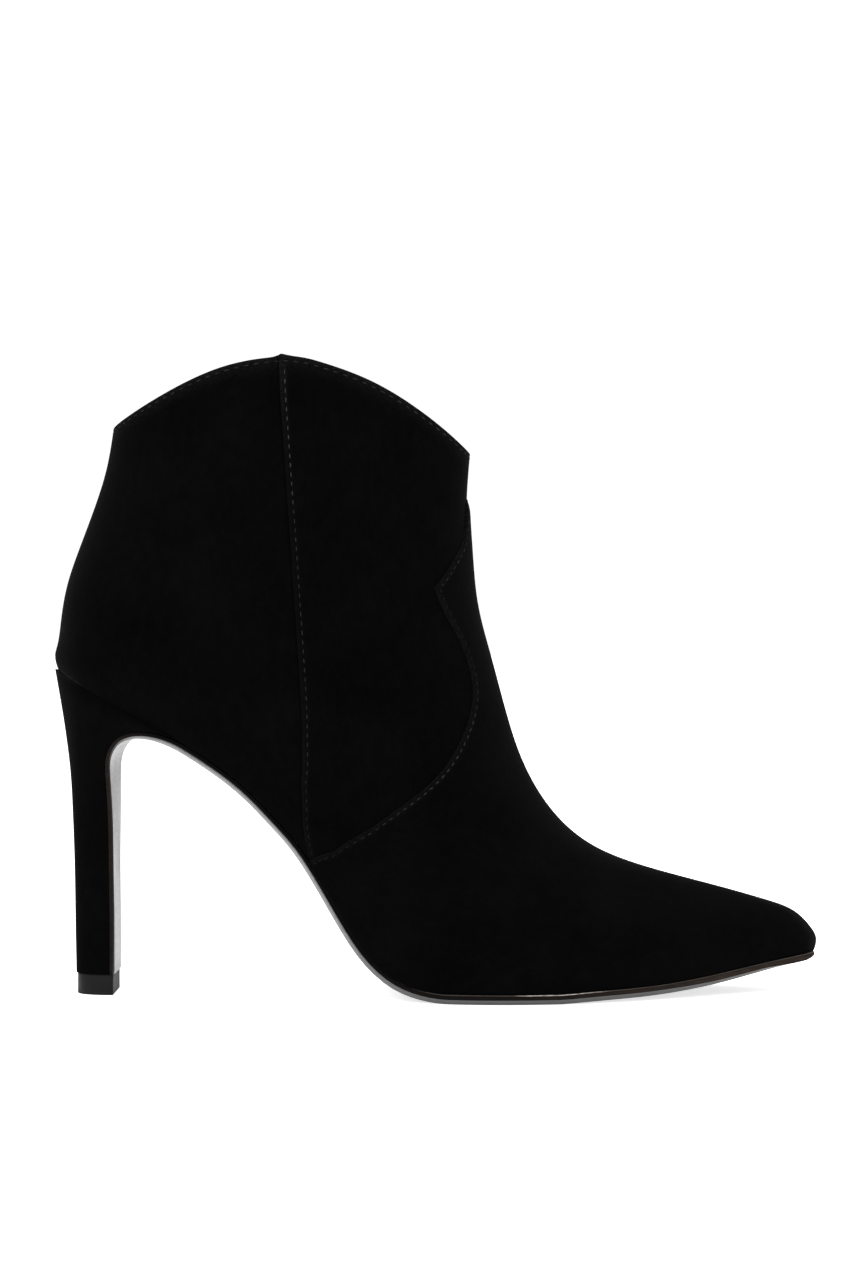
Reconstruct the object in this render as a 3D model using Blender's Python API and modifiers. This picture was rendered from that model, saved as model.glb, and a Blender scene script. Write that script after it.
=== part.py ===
"""Heeled ankle boot for the right foot: pointed toe, arched collar with side seams,
a winged vamp laid over the upper, a leather sole that runs down the heel breast,
and a slim covered heel on a hard top piece.

Frame: origin on the floor under the ball of the foot, +X to the toe, +Y to the inner
side of the foot, +Z up. The tables are in millimetres.
"""

import math

import bmesh
import bpy
import numpy as np

MM = 0.001

# Driving sizes of the boot
WALL = 1.8              # leather and lining of the upper
VAMP_THICKNESS = 0.7    # vamp leather, skived at its edges
VAMP_CLEARANCE = 0.45   # room between the vamp and the upper under it
SEAM_STEP = 0.7         # how far the front panel stands over the back panel at the side seam
GAP = 0.3               # clearance between pieces that meet
SOLE_FOREFOOT = 2.7     # outsole thickness under the ball
SOLE_TOE = 2.0          # outsole thickness at the tip of the toe
SOLE_WAIST = 2.6        # outsole thickness under the arch
SOLE_FLAP = 1.4         # outsole thickness where it runs down the heel breast
SOLE_MARGIN = 1.1       # how far the outsole reaches past the upper's foot, to carry the vamp
INSOLE_THICKNESS = 2.0
INSOLE_CLEARANCE = 1.2  # room between the insole's edge and the wall
TOP_PIECE_HEIGHT = 5.9
TOP_PIECE_INSET = 0.4   # the top piece is this much smaller than the heel all round

SEAM_RISE = 0.5         # degrees of turn over which the seam's step rises
SEAM_FADE = 16.0        # degrees of turn over which the raised edge blends into the panel

# Foot of the upper (the feather line), seen from the side, heel to toe
# share along the boot, x, z
FEATHER = (
    (0.000, -128.4, 96.8),
    (0.101, -110.0, 86.6),
    (0.164, -98.6, 80.6),
    (0.225, -87.4, 74.0),
    (0.274, -78.6, 68.1),
    (0.323, -69.7, 60.8),
    (0.372, -60.8, 51.9),
    (0.420, -52.0, 41.0),
    (0.456, -43.2, 26.4),
    (0.485, -36.0, 15.2),
    (0.515, -28.0, 7.5),
    (0.549, -19.0, 4.0),
    (0.585, -10.0, 3.0),
    (0.640, 4.0, 2.85),
    (0.694, 18.0, 2.9),
    (0.748, 32.0, 3.6),
    (0.804, 46.0, 4.2),
    (0.864, 61.0, 5.6),
    (0.935, 80.0, 8.7),
    (1.000, 98.0, 11.6),
)

# Collar line, seen from the side, back to front
# share along the boot, x, z
COLLAR = (
    (0.00, -111.8, 168.4),
    (0.06, -104.4, 172.4),
    (0.16, -92.2, 178.7),
    (0.28, -77.5, 184.6),
    (0.35, -69.0, 186.5),
    (0.42, -60.3, 187.5),
    (0.55, -48.0, 185.6),
    (0.70, -33.7, 180.4),
    (0.82, -22.1, 174.2),
    (0.92, -12.4, 167.7),
    (1.00, -4.9, 159.8),
)

# Centre back line, heel seat to collar
# level, x, z
BACK = (
    (0.00, -128.4, 96.8),
    (0.06, -129.2, 100.0),
    (0.15, -128.5, 104.0),
    (0.30, -127.3, 112.0),
    (0.45, -125.6, 121.5),
    (0.60, -122.4, 131.5),
    (0.75, -117.8, 144.0),
    (0.88, -113.9, 156.5),
    (1.00, -111.8, 168.4),
)

# Centre front line, toe to collar
# level, x, z
FRONT = (
    (0.00, 98.0, 11.6),
    (0.03, 98.6, 15.1),
    (0.06, 97.3, 17.9),
    (0.10, 93.0, 22.4),
    (0.15, 84.7, 26.0),
    (0.21, 70.5, 30.1),
    (0.28, 52.6, 34.9),
    (0.36, 33.8, 41.6),
    (0.44, 20.5, 51.8),
    (0.52, 11.6, 65.1),
    (0.62, 5.2, 82.5),
    (0.72, 0.4, 100.2),
    (0.82, -3.9, 118.0),
    (0.90, -5.4, 135.0),
    (0.95, -5.9, 147.0),
    (1.00, -4.9, 159.8),
)
FRONT_LEAN = 2.0        # the shape of the front line dies out backwards with this power

# Half-widths of the upper, a row for each level from feather line to collar.
# The columns stand at these shares along the boot:
# heel end, heel, arch, seam, joint, ball, vamp, toe
WIDTH_SHARES = (0.06, 0.16, 0.30, 0.42, 0.60, 0.72, 0.85, 0.95)
WIDTHS = (
    (0.00, 20.9, 25.6, 23.0, 22.5, 35.0, 34.5, 21.5, 9.2),
    (0.08, 22.8, 28.2, 27.0, 26.8, 35.8, 36.0, 24.4, 10.2),
    (0.20, 24.2, 29.6, 29.2, 29.4, 33.4, 31.6, 19.8, 8.6),
    (0.40, 24.6, 30.0, 30.4, 30.4, 30.6, 28.4, 21.6, 11.4),
    (0.70, 18.5, 26.4, 29.9, 30.6, 29.6, 27.2, 21.0, 12.2),
    (1.00, 15.8, 24.0, 29.6, 31.0, 29.7, 26.8, 21.2, 12.9),
)

# Swing of the last: sideways shift of the centre line at the feather, + is the inner side
# share along the boot, shift
SWING = (
    (0.00, 0.0),
    (0.20, -0.4),
    (0.42, -2.0),
    (0.62, -0.8),
    (0.82, 2.4),
    (1.00, 6.5),
)
SWING_FADE = 2.0        # the swing dies out with this power of the height

# Side seam: how far round from the centre back it runs, by level
# level, turn in degrees
SEAM = (
    (0.00, 80.9),
    (0.03, 80.4),
    (0.08, 80.1),
    (0.12, 80.4),
    (0.20, 81.6),
    (0.32, 84.8),
    (0.42, 87.0),
    (0.50, 88.2),
    (0.58, 88.3),
    (0.64, 87.5),
    (0.73, 85.9),
    (0.82, 83.6),
    (0.91, 81.8),
    (1.00, 80.2),
)

# Edge of the vamp: how far round from the centre back it runs, by level,
# first the wing from the sole up to the notch, then the tongue above the notch
# level, turn in degrees
VAMP_WING = (
    (0.000, 81.2),
    (0.055, 82.4),
    (0.105, 83.9),
    (0.175, 86.4),
    (0.235, 89.5),
    (0.275, 92.3),
    (0.330, 98.9),
    (0.375, 106.3),
    (0.430, 117.7),
    (0.495, 129.3),
    (0.575, 142.0),
    (0.615, 147.1),
    (0.653, 149.6),
    (0.686, 149.0),
    (0.715, 145.9),
    (0.737, 141.0),
    (0.774, 136.5),
)
VAMP_TONGUE = (
    (0.774, 136.5),
    (0.808, 143.9),
    (0.853, 153.6),
    (0.898, 164.4),
    (0.951, 171.2),
)
VAMP_FOOT = 0.006       # level at which the vamp ends over the sole

# Outer face of the sole flap from the waist, round the crest and down the heel breast
# x, z, half-width
FLAP = (
    (-96.0, 75.0, 25.2),
    (-102.6, 76.4, 24.2),
    (-108.0, 75.0, 22.0),
    (-110.7, 71.0, 19.6),
    (-111.2, 65.6, 17.3),
    (-110.9, 55.0, 13.9),
    (-110.8, 40.0, 11.6),
    (-110.6, 22.0, 11.1),
    (-110.6, 6.2, 11.1),
)
FLAP_SHARES = (0.240, 0.215)    # the last two places where the sole still follows the upper
FLAP_EASE = 25.0                # length over which the sole thins into the flap
WEDGE = 5.0                     # how far along the flap the heel's front edge lies
FLAP_BEND = 36.0                # how far along the flap its bend ends and the straight breast begins

# Centre back line of the heel, top piece to seat
# level, x, z
HEEL_BACK = (
    (0.00, -122.8, 6.2),
    (0.18, -123.1, 22.0),
    (0.38, -123.4, 40.0),
    (0.54, -123.9, 55.0),
    (0.68, -124.5, 67.0),
    (0.80, -125.8, 78.0),
    (0.90, -127.4, 87.3),
    (1.00, -129.1, 96.2),
)
HEEL_ROUND = 0.68       # roundness of the heel's back: 1 is an ellipse, less is squarer
SEAT_SHARE = 0.192      # share along the boot where the heel's front edge lies

# Mesh fineness
LEVELS = (0.0, 0.02, 0.045, 0.075, 0.11, 0.15) + tuple(np.linspace(0.2, 1.0, 17))
BACK_COLUMNS = 10
FRONT_COLUMNS = 13
VAMP_COLUMNS = 15
SOLE_ROWS = 36
FLAP_BEND_ROWS = 15
FLAP_STRAIGHT_ROWS = 5
SOLE_ACROSS = 6
HEEL_COLUMNS = 10
HEEL_ACROSS = 4
INSOLE_ROWS = 26
INSOLE_ACROSS = 6
MERGE = 0.02 * MM

UPPER_SUEDE = ("upper_suede", (0.010, 0.010, 0.011), 0.95)
VAMP_SUEDE = ("vamp_suede", (0.010, 0.010, 0.011), 0.95)
HEEL_SUEDE = ("heel_suede", (0.010, 0.010, 0.011), 0.95)
SOLE_LEATHER = ("sole_leather", (0.030, 0.030, 0.032), 0.25)
HEEL_RUBBER = ("heel_rubber", (0.020, 0.022, 0.022), 0.45)
SOCK_LEATHER = ("sock_leather", (0.020, 0.019, 0.018), 0.55)


# Curves

def spline(knots, values):
    """A natural cubic spline through the values at the knots, as a function of the knot."""
    knots = np.asarray(knots, float)
    values = np.asarray(values, float)
    count = len(knots)
    step = np.diff(knots)
    slope = np.diff(values) / step
    system = np.eye(count)
    right = np.zeros(count)
    for i in range(1, count - 1):
        system[i, i - 1:i + 2] = step[i - 1], 2 * (step[i - 1] + step[i]), step[i]
        right[i] = 6 * (slope[i] - slope[i - 1])
    bend = np.linalg.solve(system, right)

    def at(knot):
        i = min(max(int(np.searchsorted(knots, knot)) - 1, 0), count - 2)
        a = (knots[i + 1] - knot) / step[i]
        b = 1 - a
        curve = ((a ** 3 - a) * bend[i] + (b ** 3 - b) * bend[i + 1]) * step[i] ** 2 / 6
        return a * values[i] + b * values[i + 1] + curve

    return at


def columns_of(table):
    """A function of the table's first column that gives its other columns as an array."""
    rows = np.array(table, float)
    curves = [spline(rows[:, 0], column) for column in rows[:, 1:].T]
    return lambda knot: np.array([curve(knot) for curve in curves])


def patch(bottom, top, back, front, share, level, lean=1.0):
    """A point of the side view inside four edge curves, by share from back to front and level.
    A lean over 1 keeps the shape of the front curve nearer the front."""
    def straight(at):
        return (1 - level) * bottom(at) + level * top(at)

    behind = (1 - share) * (back(level) - straight(0))
    ahead = share ** lean * (front(level) - straight(1))
    return straight(share) + behind + ahead


def share_of(turn):
    """Share along the boot of a place turned this many degrees from the centre back."""
    return (1 - math.cos(math.radians(turn))) / 2


feather = columns_of(FEATHER)
collar = columns_of(COLLAR)
back_line = columns_of(BACK)
front_line = columns_of(FRONT)
swing = columns_of(SWING)
seam = columns_of(SEAM)
vamp_wing = columns_of(VAMP_WING)
vamp_tongue = columns_of(VAMP_TONGUE)

WIDTH_TURNS = [math.degrees(math.acos(1 - 2 * share)) for share in WIDTH_SHARES]
WIDTH_LEVELS = [row[0] for row in WIDTHS]
width_rows = [spline([0, *WIDTH_TURNS, 180], [0, *row[1:], 0]) for row in WIDTHS]


# The form of the upper

def half_width(turn, level):
    """Half-width of the upper at a turn from 0, the centre back, to 180, the centre front."""
    return float(spline(WIDTH_LEVELS, [row(turn) for row in width_rows])(level))


def form(turn, level):
    """A point of the upper's outer face. Turn runs round the boot from the centre back, 0, past
    the outer side to the centre front, 180, and back along the inner side. Level is 0 to 1."""
    side = -1 if turn % 360 <= 180 else 1
    turn = turn % 360 if side < 0 else 360 - turn % 360
    share = share_of(turn)
    x, z = patch(feather, collar, back_line, front_line, share, level, FRONT_LEAN)
    shift = float(swing(share)[0]) * (1 - level) ** SWING_FADE
    return np.array((x, shift + side * half_width(turn, level), z))


def outward(turn, level):
    """The unit normal of the form, pointing out of the boot."""
    low, high = max(level - 0.004, 0.0), min(level + 0.004, 1.0)
    around = form(turn + 0.4, level) - form(turn - 0.4, level)
    up = form(turn, high) - form(turn, low)
    normal = np.cross(around, up)
    return normal / np.linalg.norm(normal)


def seam_lift(turn, level):
    """How far the front panel stands proud just ahead of the side seam."""
    ahead = min(turn % 360, 360 - turn % 360) - seam(level)[0]
    if ahead <= 0 or ahead >= SEAM_FADE:
        return 0.0
    rise = min(ahead / SEAM_RISE, 1.0)
    return SEAM_STEP * rise * (1 - max(ahead - SEAM_RISE, 0) / (SEAM_FADE - SEAM_RISE))


def skin(turn, level, proud=0.0):
    """A point of the upper's face, raised at the side seam and lifted by a further distance."""
    return form(turn, level) + outward(turn, level) * (seam_lift(turn, level) + proud)


def side_normal(curve, share, step=0.004):
    """Unit normal of a side-view curve that runs heel to toe, pointing up."""
    low, high = max(share - step, 0.0), min(share + step, 1.0)
    along = curve(high)[:2] - curve(low)[:2]
    return np.array((-along[1], along[0])) / np.linalg.norm(along)


# Meshes

def piece(name, columns, rows, place, material, closed=False):
    """An object from a grid of columns and rows, each point placed by its column and row number.
    A closed piece is a tube whose first and last columns meet, with both ends filled."""
    mesh = bmesh.new()
    bmesh.ops.create_grid(mesh, x_segments=columns, y_segments=rows, size=0.5)
    for vert in mesh.verts:
        column = round((vert.co.x + 0.5) * columns)
        row = round((vert.co.y + 0.5) * rows)
        vert.co = place(column, row) * MM
    bmesh.ops.remove_doubles(mesh, verts=mesh.verts, dist=MERGE)
    if closed:
        ends = [edge for edge in mesh.edges if edge.is_boundary]
        bmesh.ops.holes_fill(mesh, edges=ends, sides=0)
        bmesh.ops.recalc_face_normals(mesh, faces=mesh.faces)
    data = bpy.data.meshes.new(name)
    mesh.to_mesh(data)
    mesh.free()
    data.shade_smooth()
    data.materials.append(finish(*material))
    made = bpy.data.objects.new(name, data)
    boot_collection().objects.link(made)
    return made


def boot_collection():
    """The collection that holds the boot's pieces."""
    name = "heeled_ankle_boot"
    found = bpy.data.collections.get(name)
    if found is None:
        found = bpy.data.collections.new(name)
        bpy.context.scene.collection.children.link(found)
    return found


def finish(name, colour, roughness):
    """A plain material of this colour and roughness."""
    found = bpy.data.materials.get(name)
    if found is None:
        found = bpy.data.materials.new(name)
        found.use_nodes = True
        shader = found.node_tree.nodes["Principled BSDF"]
        shader.inputs["Base Color"].default_value = (*colour, 1)
        shader.inputs["Roughness"].default_value = roughness
        shader.inputs["Metallic"].default_value = 0
    return found


def thicken(made, thickness):
    """Gives an open sheet its thickness, inwards from its outer face."""
    wall = made.modifiers.new("wall", "SOLIDIFY")
    wall.thickness = thickness * MM
    wall.offset = -1
    wall.use_quality_normals = True


# The path of the sole

def turn_of(share):
    """Turn from the centre back, in degrees, of a share along the boot."""
    return math.degrees(math.acos(1 - 2 * share))


def ease(value, low, high):
    """Rises smoothly from 0 at low to 1 at high."""
    value = min(max((value - low) / (high - low), 0), 1)
    return value * value * (3 - 2 * value)


def sole_row(share):
    """The sole under the upper: outer face x and z, inward x and z, centre line, half-width, thickness."""
    forefoot = ease(share, 0.44, 0.60)
    thickness = SOLE_WAIST + (SOLE_FOREFOOT - SOLE_WAIST) * forefoot
    thickness = thickness + (SOLE_TOE - SOLE_FOREFOOT) * ease(share, 0.88, 1.0)
    inward = side_normal(feather, share)
    x, z = feather(share) - inward * (GAP + thickness)
    x = x + SOLE_MARGIN * ease(share, 0.95, 1.0)
    width = half_width(turn_of(share), 0) + SOLE_MARGIN * (2 * forefoot - 1) * (0.7 + 0.3 * forefoot)
    return np.array((x, max(z, 0.0), *inward, swing(share)[0], width, thickness))


FLAP_START = [sole_row(share) for share in FLAP_SHARES]
FLAP_ROUTE = [(row[0], row[1], row[5]) for row in FLAP_START] + list(FLAP)
FLAP_LENGTHS = np.cumsum([0] + [math.dist(a[:2], b[:2]) for a, b in zip(FLAP_ROUTE, FLAP_ROUTE[1:])])
flap_route = columns_of([(length, *row) for length, row in zip(FLAP_LENGTHS, FLAP_ROUTE)])


def flap_row(length):
    """The sole past the waist, down the heel breast, in the same columns as sole_row."""
    x, z, width = flap_route(length)
    along = (flap_route(length + 0.1) - flap_route(length - 0.1))[:2]
    along = along / np.linalg.norm(along)
    done = ease(length, FLAP_LENGTHS[1], FLAP_LENGTHS[1] + FLAP_EASE)
    thickness = SOLE_WAIST + (SOLE_FLAP - SOLE_WAIST) * done
    shift = FLAP_START[1][4] * (1 - done)
    return np.array((x, z, along[1], -along[0], shift, width, thickness))


FLAP_FIRST = FLAP_LENGTHS[1]
FLAP_LAST = FLAP_LENGTHS[-1]
flap_bend = np.linspace(FLAP_FIRST + WEDGE, FLAP_FIRST + FLAP_BEND, FLAP_BEND_ROWS + 1)
flap_straight = np.linspace(FLAP_FIRST + FLAP_BEND, FLAP_LAST, FLAP_STRAIGHT_ROWS + 1)
flap_stations = [*flap_bend, *flap_straight[1:]]


def flap_length(level):
    """Length along the flap of a level of the heel, from the top piece to the seat."""
    return FLAP_LAST + (flap_stations[0] - FLAP_LAST) * level


def breast(level):
    """Front line of the heel, against the sole flap, from the top piece to the seat."""
    row = flap_row(flap_length(level))
    return row[:2] + row[2:4] * (row[6] + GAP)


def heel_width(level):
    """Half-width of the heel at its breast."""
    return flap_row(flap_length(level))[5]


def seat(share):
    """Top line of the heel, under the upper, from back to front."""
    share = share * SEAT_SHARE
    return feather(share) - side_normal(feather, share) * GAP


def heel_foot(share):
    """Bottom line of the heel, over the top piece, from back to front."""
    return heel_back(0) * (1 - share) + breast(0) * share


heel_back = columns_of(HEEL_BACK)


# Pieces

def make_upper():
    """The hollow upper, open at the collar and underneath, stepped at the two side seams."""
    behind = [(share, 0, 0) for share in np.linspace(0, 1, BACK_COLUMNS + 1)]
    edge = [(1, SEAM_RISE, 0), (1, SEAM_FADE / 2, 0)]
    ahead = [(1, SEAM_FADE, share) for share in np.linspace(0, 1, FRONT_COLUMNS)]
    outer = [*behind, *edge, *ahead]
    around = [(1, *place) for place in outer] + [(-1, *place) for place in reversed(outer[:-1])]

    def place(column, row):
        side, to_seam, past, to_front = around[column]
        level = LEVELS[row]
        turn = seam(level)[0] * to_seam + past
        turn = turn + (180 - turn) * to_front
        return skin(turn if side > 0 else 360 - turn, level)

    thicken(piece("upper", len(around) - 1, len(LEVELS) - 1, place, UPPER_SUEDE), WALL)


def make_vamp():
    """The vamp: one leather over the toe and instep, with a wing on each side and a tongue on top."""
    notch = VAMP_TONGUE[0][0]
    top = VAMP_TONGUE[-1][0]
    levels = [max(level, VAMP_FOOT) for level in LEVELS if level < notch - 0.03]
    levels += list(np.linspace(notch, top, 6))

    def place(column, row):
        level = levels[row]
        edge = float((vamp_wing if level < notch else vamp_tongue)(level)[0])
        across = column / VAMP_COLUMNS - 1
        return skin(180 + across * (180 - edge), level, VAMP_CLEARANCE + VAMP_THICKNESS)

    thicken(piece("vamp", 2 * VAMP_COLUMNS, len(levels) - 1, place, VAMP_SUEDE), VAMP_THICKNESS)


def make_outsole():
    """The leather sole: toe, tread, arch, and the flap down the heel breast, in one strip."""
    last = turn_of(FLAP_SHARES[1])
    rows = [sole_row(share_of(turn)) for turn in np.linspace(178.0, last, SOLE_ROWS)]
    rows += [flap_row(length) for length in [FLAP_FIRST + WEDGE / 2, *flap_stations]]
    across = np.linspace(-1, 1, SOLE_ACROSS + 1)
    loop = [(place, 0) for place in across] + [(place, 1) for place in reversed(across)] + [(-1, 0)]

    def place(column, row):
        x, z, inward_x, inward_z, shift, width, thickness = rows[row]
        side, face = loop[column]
        depth = thickness * face
        return np.array((x + inward_x * depth, shift + side * width, z + inward_z * depth))

    piece("outsole", len(loop) - 1, len(rows) - 1, place, SOLE_LEATHER, closed=True)


def heel_loop():
    """Places round the heel: side, share from the centre back to the breast."""
    round_back = [math.radians(turn) for turn in np.linspace(0, 90, HEEL_COLUMNS + 1)]
    outer = [(-math.sin(turn) ** HEEL_ROUND, 1 - math.cos(turn)) for turn in round_back]
    front = [(side, 1.0) for side in np.linspace(-1, 1, HEEL_ACROSS + 1)[1:-1]]
    return outer + front + [(-side, share) for side, share in reversed(outer)]


def make_heel():
    """The slim heel block, rounded behind, flat at the breast, sloping along the seat on top."""
    loop = heel_loop()
    levels = [(FLAP_LAST - length) / (FLAP_LAST - flap_stations[0]) for length in reversed(flap_stations)]
    rows = [(0, 0), *((level, 1) for level in levels), (1, 0)]

    def place(column, row):
        side, share = loop[column]
        level, spread = rows[row]
        x, z = patch(heel_foot, seat, heel_back, breast, share, level)
        return np.array((x, side * heel_width(level) * spread, z))

    piece("heel", len(loop) - 1, len(rows) - 1, place, HEEL_SUEDE, closed=True)


def make_top_piece():
    """The hard tip under the heel and the foot of the flap."""
    loop = heel_loop()
    back = HEEL_BACK[0][1] + TOP_PIECE_INSET
    front = FLAP[-1][0] - TOP_PIECE_INSET
    width = FLAP[-1][2] - TOP_PIECE_INSET
    rows = [(0, 0), (0, 1), (TOP_PIECE_HEIGHT, 1), (TOP_PIECE_HEIGHT, 0)]

    def place(column, row):
        side, share = loop[column]
        height, spread = rows[row]
        return np.array((back + (front - back) * share, side * width * spread, height))

    piece("top_piece", len(loop) - 1, len(rows) - 1, place, HEEL_RUBBER, closed=True)


def make_insole():
    """The sock and board that the foot stands on, clear of the wall all round."""
    turns = np.linspace(turn_of(0.018), turn_of(0.965), INSOLE_ROWS)
    across = np.linspace(-1, 1, INSOLE_ACROSS + 1)
    loop = [(place, 0) for place in across] + [(place, 1) for place in reversed(across)] + [(-1, 0)]

    def place(column, row):
        share = share_of(turns[row])
        side, face = loop[column]
        inward = side_normal(feather, share)
        x, z = feather(share) + inward * INSOLE_THICKNESS * face
        width = half_width(turns[row], 0) - WALL - INSOLE_CLEARANCE
        return np.array((x, swing(share)[0] + side * width, z))

    piece("insole", len(loop) - 1, len(turns) - 1, place, SOCK_LEATHER, closed=True)


def main():
    for stale in list(bpy.data.objects):
        bpy.data.objects.remove(stale, do_unlink=True)
    make_upper()
    make_vamp()
    make_outsole()
    make_heel()
    make_top_piece()
    make_insole()


main()
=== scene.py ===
"""Dressing of a heeled ankle boot for the right foot: suede upper with lapped side seams, lining, winged
vamp, stitching, sock, leather sole with its brown upper layer, covered heel and hard top piece.

Frame: origin on the floor under the ball of the foot, +X to the toe, +Y to the inner side of the foot,
+Z up. The tables are in millimetres. Turn runs round the boot in degrees from the centre back, 0, past the
outer side to the centre front, 180, and back along the inner side. Level runs from the upper's foot, 0, to
its collar, 1.
"""

import math

import bmesh
import bpy
import numpy as np
from mathutils import Matrix, Vector


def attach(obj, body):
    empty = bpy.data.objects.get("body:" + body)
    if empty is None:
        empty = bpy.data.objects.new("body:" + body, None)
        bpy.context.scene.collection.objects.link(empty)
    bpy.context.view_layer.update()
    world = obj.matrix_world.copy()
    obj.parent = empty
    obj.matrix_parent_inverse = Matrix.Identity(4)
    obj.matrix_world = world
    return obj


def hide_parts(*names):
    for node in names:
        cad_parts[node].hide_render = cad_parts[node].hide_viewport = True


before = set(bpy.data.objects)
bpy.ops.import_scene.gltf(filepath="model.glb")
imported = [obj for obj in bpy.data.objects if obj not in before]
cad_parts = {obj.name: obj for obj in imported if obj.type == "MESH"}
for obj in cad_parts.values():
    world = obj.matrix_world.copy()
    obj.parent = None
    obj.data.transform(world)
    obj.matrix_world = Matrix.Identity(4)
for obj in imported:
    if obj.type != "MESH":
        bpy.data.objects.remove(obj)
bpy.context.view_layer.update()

bl_info = {
    "name": "Heeled ankle boot",
    "version": (1, 0, 0),
    "blender": (4, 5, 0),
    "location": "View3D > Sidebar > Boot",
    "description": "Dresses the solids of a heeled ankle boot in suede, leather and stitching",
    "category": "Object",
}

MM = 0.001

# Foot of the upper (the feather line), seen from the side, heel to toe
# share along the boot, x, z
FEATHER = (
    (0.000, -128.4, 96.8),
    (0.101, -110.0, 86.6),
    (0.164, -98.6, 80.6),
    (0.225, -87.4, 74.0),
    (0.274, -78.6, 68.1),
    (0.323, -69.7, 60.8),
    (0.372, -60.8, 51.5),
    (0.420, -52.0, 40.5),
    (0.456, -43.2, 25.9),
    (0.485, -36.0, 14.9),
    (0.515, -28.0, 7.4),
    (0.549, -19.0, 3.8),
    (0.585, -10.0, 2.85),
    (0.640, 4.0, 2.85),
    (0.694, 18.0, 2.9),
    (0.748, 32.0, 3.6),
    (0.804, 46.0, 4.2),
    (0.864, 61.0, 5.6),
    (0.935, 80.0, 8.7),
    (1.000, 98.0, 11.6),
)

# Collar line, seen from the side, back to front
# share along the boot, x, z
COLLAR = (
    (0.00, -111.8, 168.4),
    (0.06, -104.4, 172.4),
    (0.16, -92.2, 178.7),
    (0.28, -77.5, 184.6),
    (0.35, -69.0, 186.5),
    (0.42, -60.3, 187.5),
    (0.55, -48.0, 185.6),
    (0.70, -33.7, 180.4),
    (0.82, -22.1, 173.9),
    (0.92, -12.4, 167.0),
    (1.00, -4.9, 160.9),
)

# Centre back line, heel seat to collar
# level, x, z
BACK = (
    (0.00, -128.4, 96.8),
    (0.06, -129.2, 100.0),
    (0.15, -128.5, 104.0),
    (0.30, -127.3, 112.0),
    (0.45, -125.6, 121.5),
    (0.60, -122.4, 131.5),
    (0.75, -117.8, 144.0),
    (0.88, -113.9, 156.5),
    (1.00, -111.8, 168.4),
)

# Centre front line, toe to collar
# level, x, z
FRONT = (
    (0.00, 98.0, 11.6),
    (0.03, 98.6, 15.1),
    (0.06, 97.3, 17.9),
    (0.10, 93.0, 22.4),
    (0.15, 84.7, 26.0),
    (0.21, 70.5, 30.1),
    (0.28, 52.6, 34.9),
    (0.36, 33.8, 41.6),
    (0.44, 20.5, 51.8),
    (0.52, 11.6, 65.1),
    (0.62, 5.2, 82.5),
    (0.72, 0.4, 100.2),
    (0.82, -3.9, 118.0),
    (0.90, -5.4, 135.0),
    (0.95, -5.9, 147.0),
    (1.00, -4.9, 160.9),
)
FRONT_LEAN = 2.0        # the shape of the front line dies out backwards with this power

# Half-widths of the upper, a row for each level from feather line to collar.
# The columns stand at these shares along the boot:
# heel end, heel, arch, seam, joint, ball, vamp, toe
WIDTH_SHARES = (0.06, 0.16, 0.30, 0.42, 0.60, 0.72, 0.85, 0.95)
WIDTHS = (
    (0.00, 20.9, 25.6, 23.0, 22.5, 35.0, 34.5, 21.5, 9.2),
    (0.08, 22.8, 28.2, 27.0, 26.8, 35.8, 36.0, 24.4, 10.2),
    (0.20, 24.2, 29.6, 29.2, 29.4, 33.4, 31.6, 19.8, 8.6),
    (0.40, 24.6, 30.0, 30.4, 30.4, 30.6, 28.4, 21.6, 11.4),
    (0.70, 18.5, 26.4, 29.9, 30.6, 29.6, 27.2, 21.0, 12.2),
    (1.00, 15.8, 24.0, 29.6, 31.0, 29.7, 26.8, 21.2, 12.9),
)

# Swing of the last: sideways shift of the centre line at the feather, + is the inner side
# share along the boot, shift
SWING = (
    (0.00, 0.0),
    (0.20, -0.4),
    (0.42, -2.0),
    (0.62, -0.8),
    (0.82, 2.4),
    (1.00, 6.5),
)
SWING_FADE = 2.0        # the swing dies out with this power of the height

# Side seam: level, turn
SEAM = (
    (0.00, 81.0),
    (0.03, 80.5),
    (0.08, 80.3),
    (0.12, 80.6),
    (0.20, 81.8),
    (0.32, 85.1),
    (0.42, 87.6),
    (0.50, 88.6),
    (0.58, 88.4),
    (0.64, 87.7),
    (0.73, 86.2),
    (0.82, 84.2),
    (0.91, 82.0),
    (1.00, 80.2),
)

# Edge of the vamp, first the wing from the sole up to the notch, then the tongue above it: level, turn
VAMP_WING = (
    (0.00, 80.8),
    (0.04, 81.95),
    (0.10, 83.9),
    (0.175, 86.65),
    (0.25, 90.5),
    (0.29, 94.0),
    (0.34, 101.2),
    (0.43, 116.4),
    (0.56, 138.0),
    (0.63, 146.6),
    (0.66, 148.1),
    (0.69, 147.2),
    (0.72, 144.2),
    (0.745, 140.0),
    (0.78, 136.5),
)
VAMP_TONGUE = (
    (0.780, 136.5),
    (0.815, 143.9),
    (0.858, 153.6),
    (0.900, 164.4),
    (0.943, 171.2),
)
TONGUE_RISE = 0.010     # how far the middle of the tongue's tip stands over its corners, in levels
TONGUE_PARING = 0.020   # length over which the tongue is pared down towards its tip, in levels
TONGUE_LEAST = 0.15     # share of its height that is left at the tip

# Lapped side seam: distance ahead of the fold, height over the back panel
SEAM_PROFILE = (
    (-0.90, 0.00),
    (-0.40, -0.06),
    (-0.14, -0.32),
    (0.00, -0.26),
    (0.06, 0.12),
    (0.18, 0.48),
    (0.42, 0.68),
    (0.80, 0.74),
    (1.10, 0.70),
    (1.38, 0.54),
    (1.60, 0.48),
    (1.85, 0.55),
    (2.40, 0.66),
    (4.20, 0.60),
    (11.0, 0.00),
)

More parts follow.
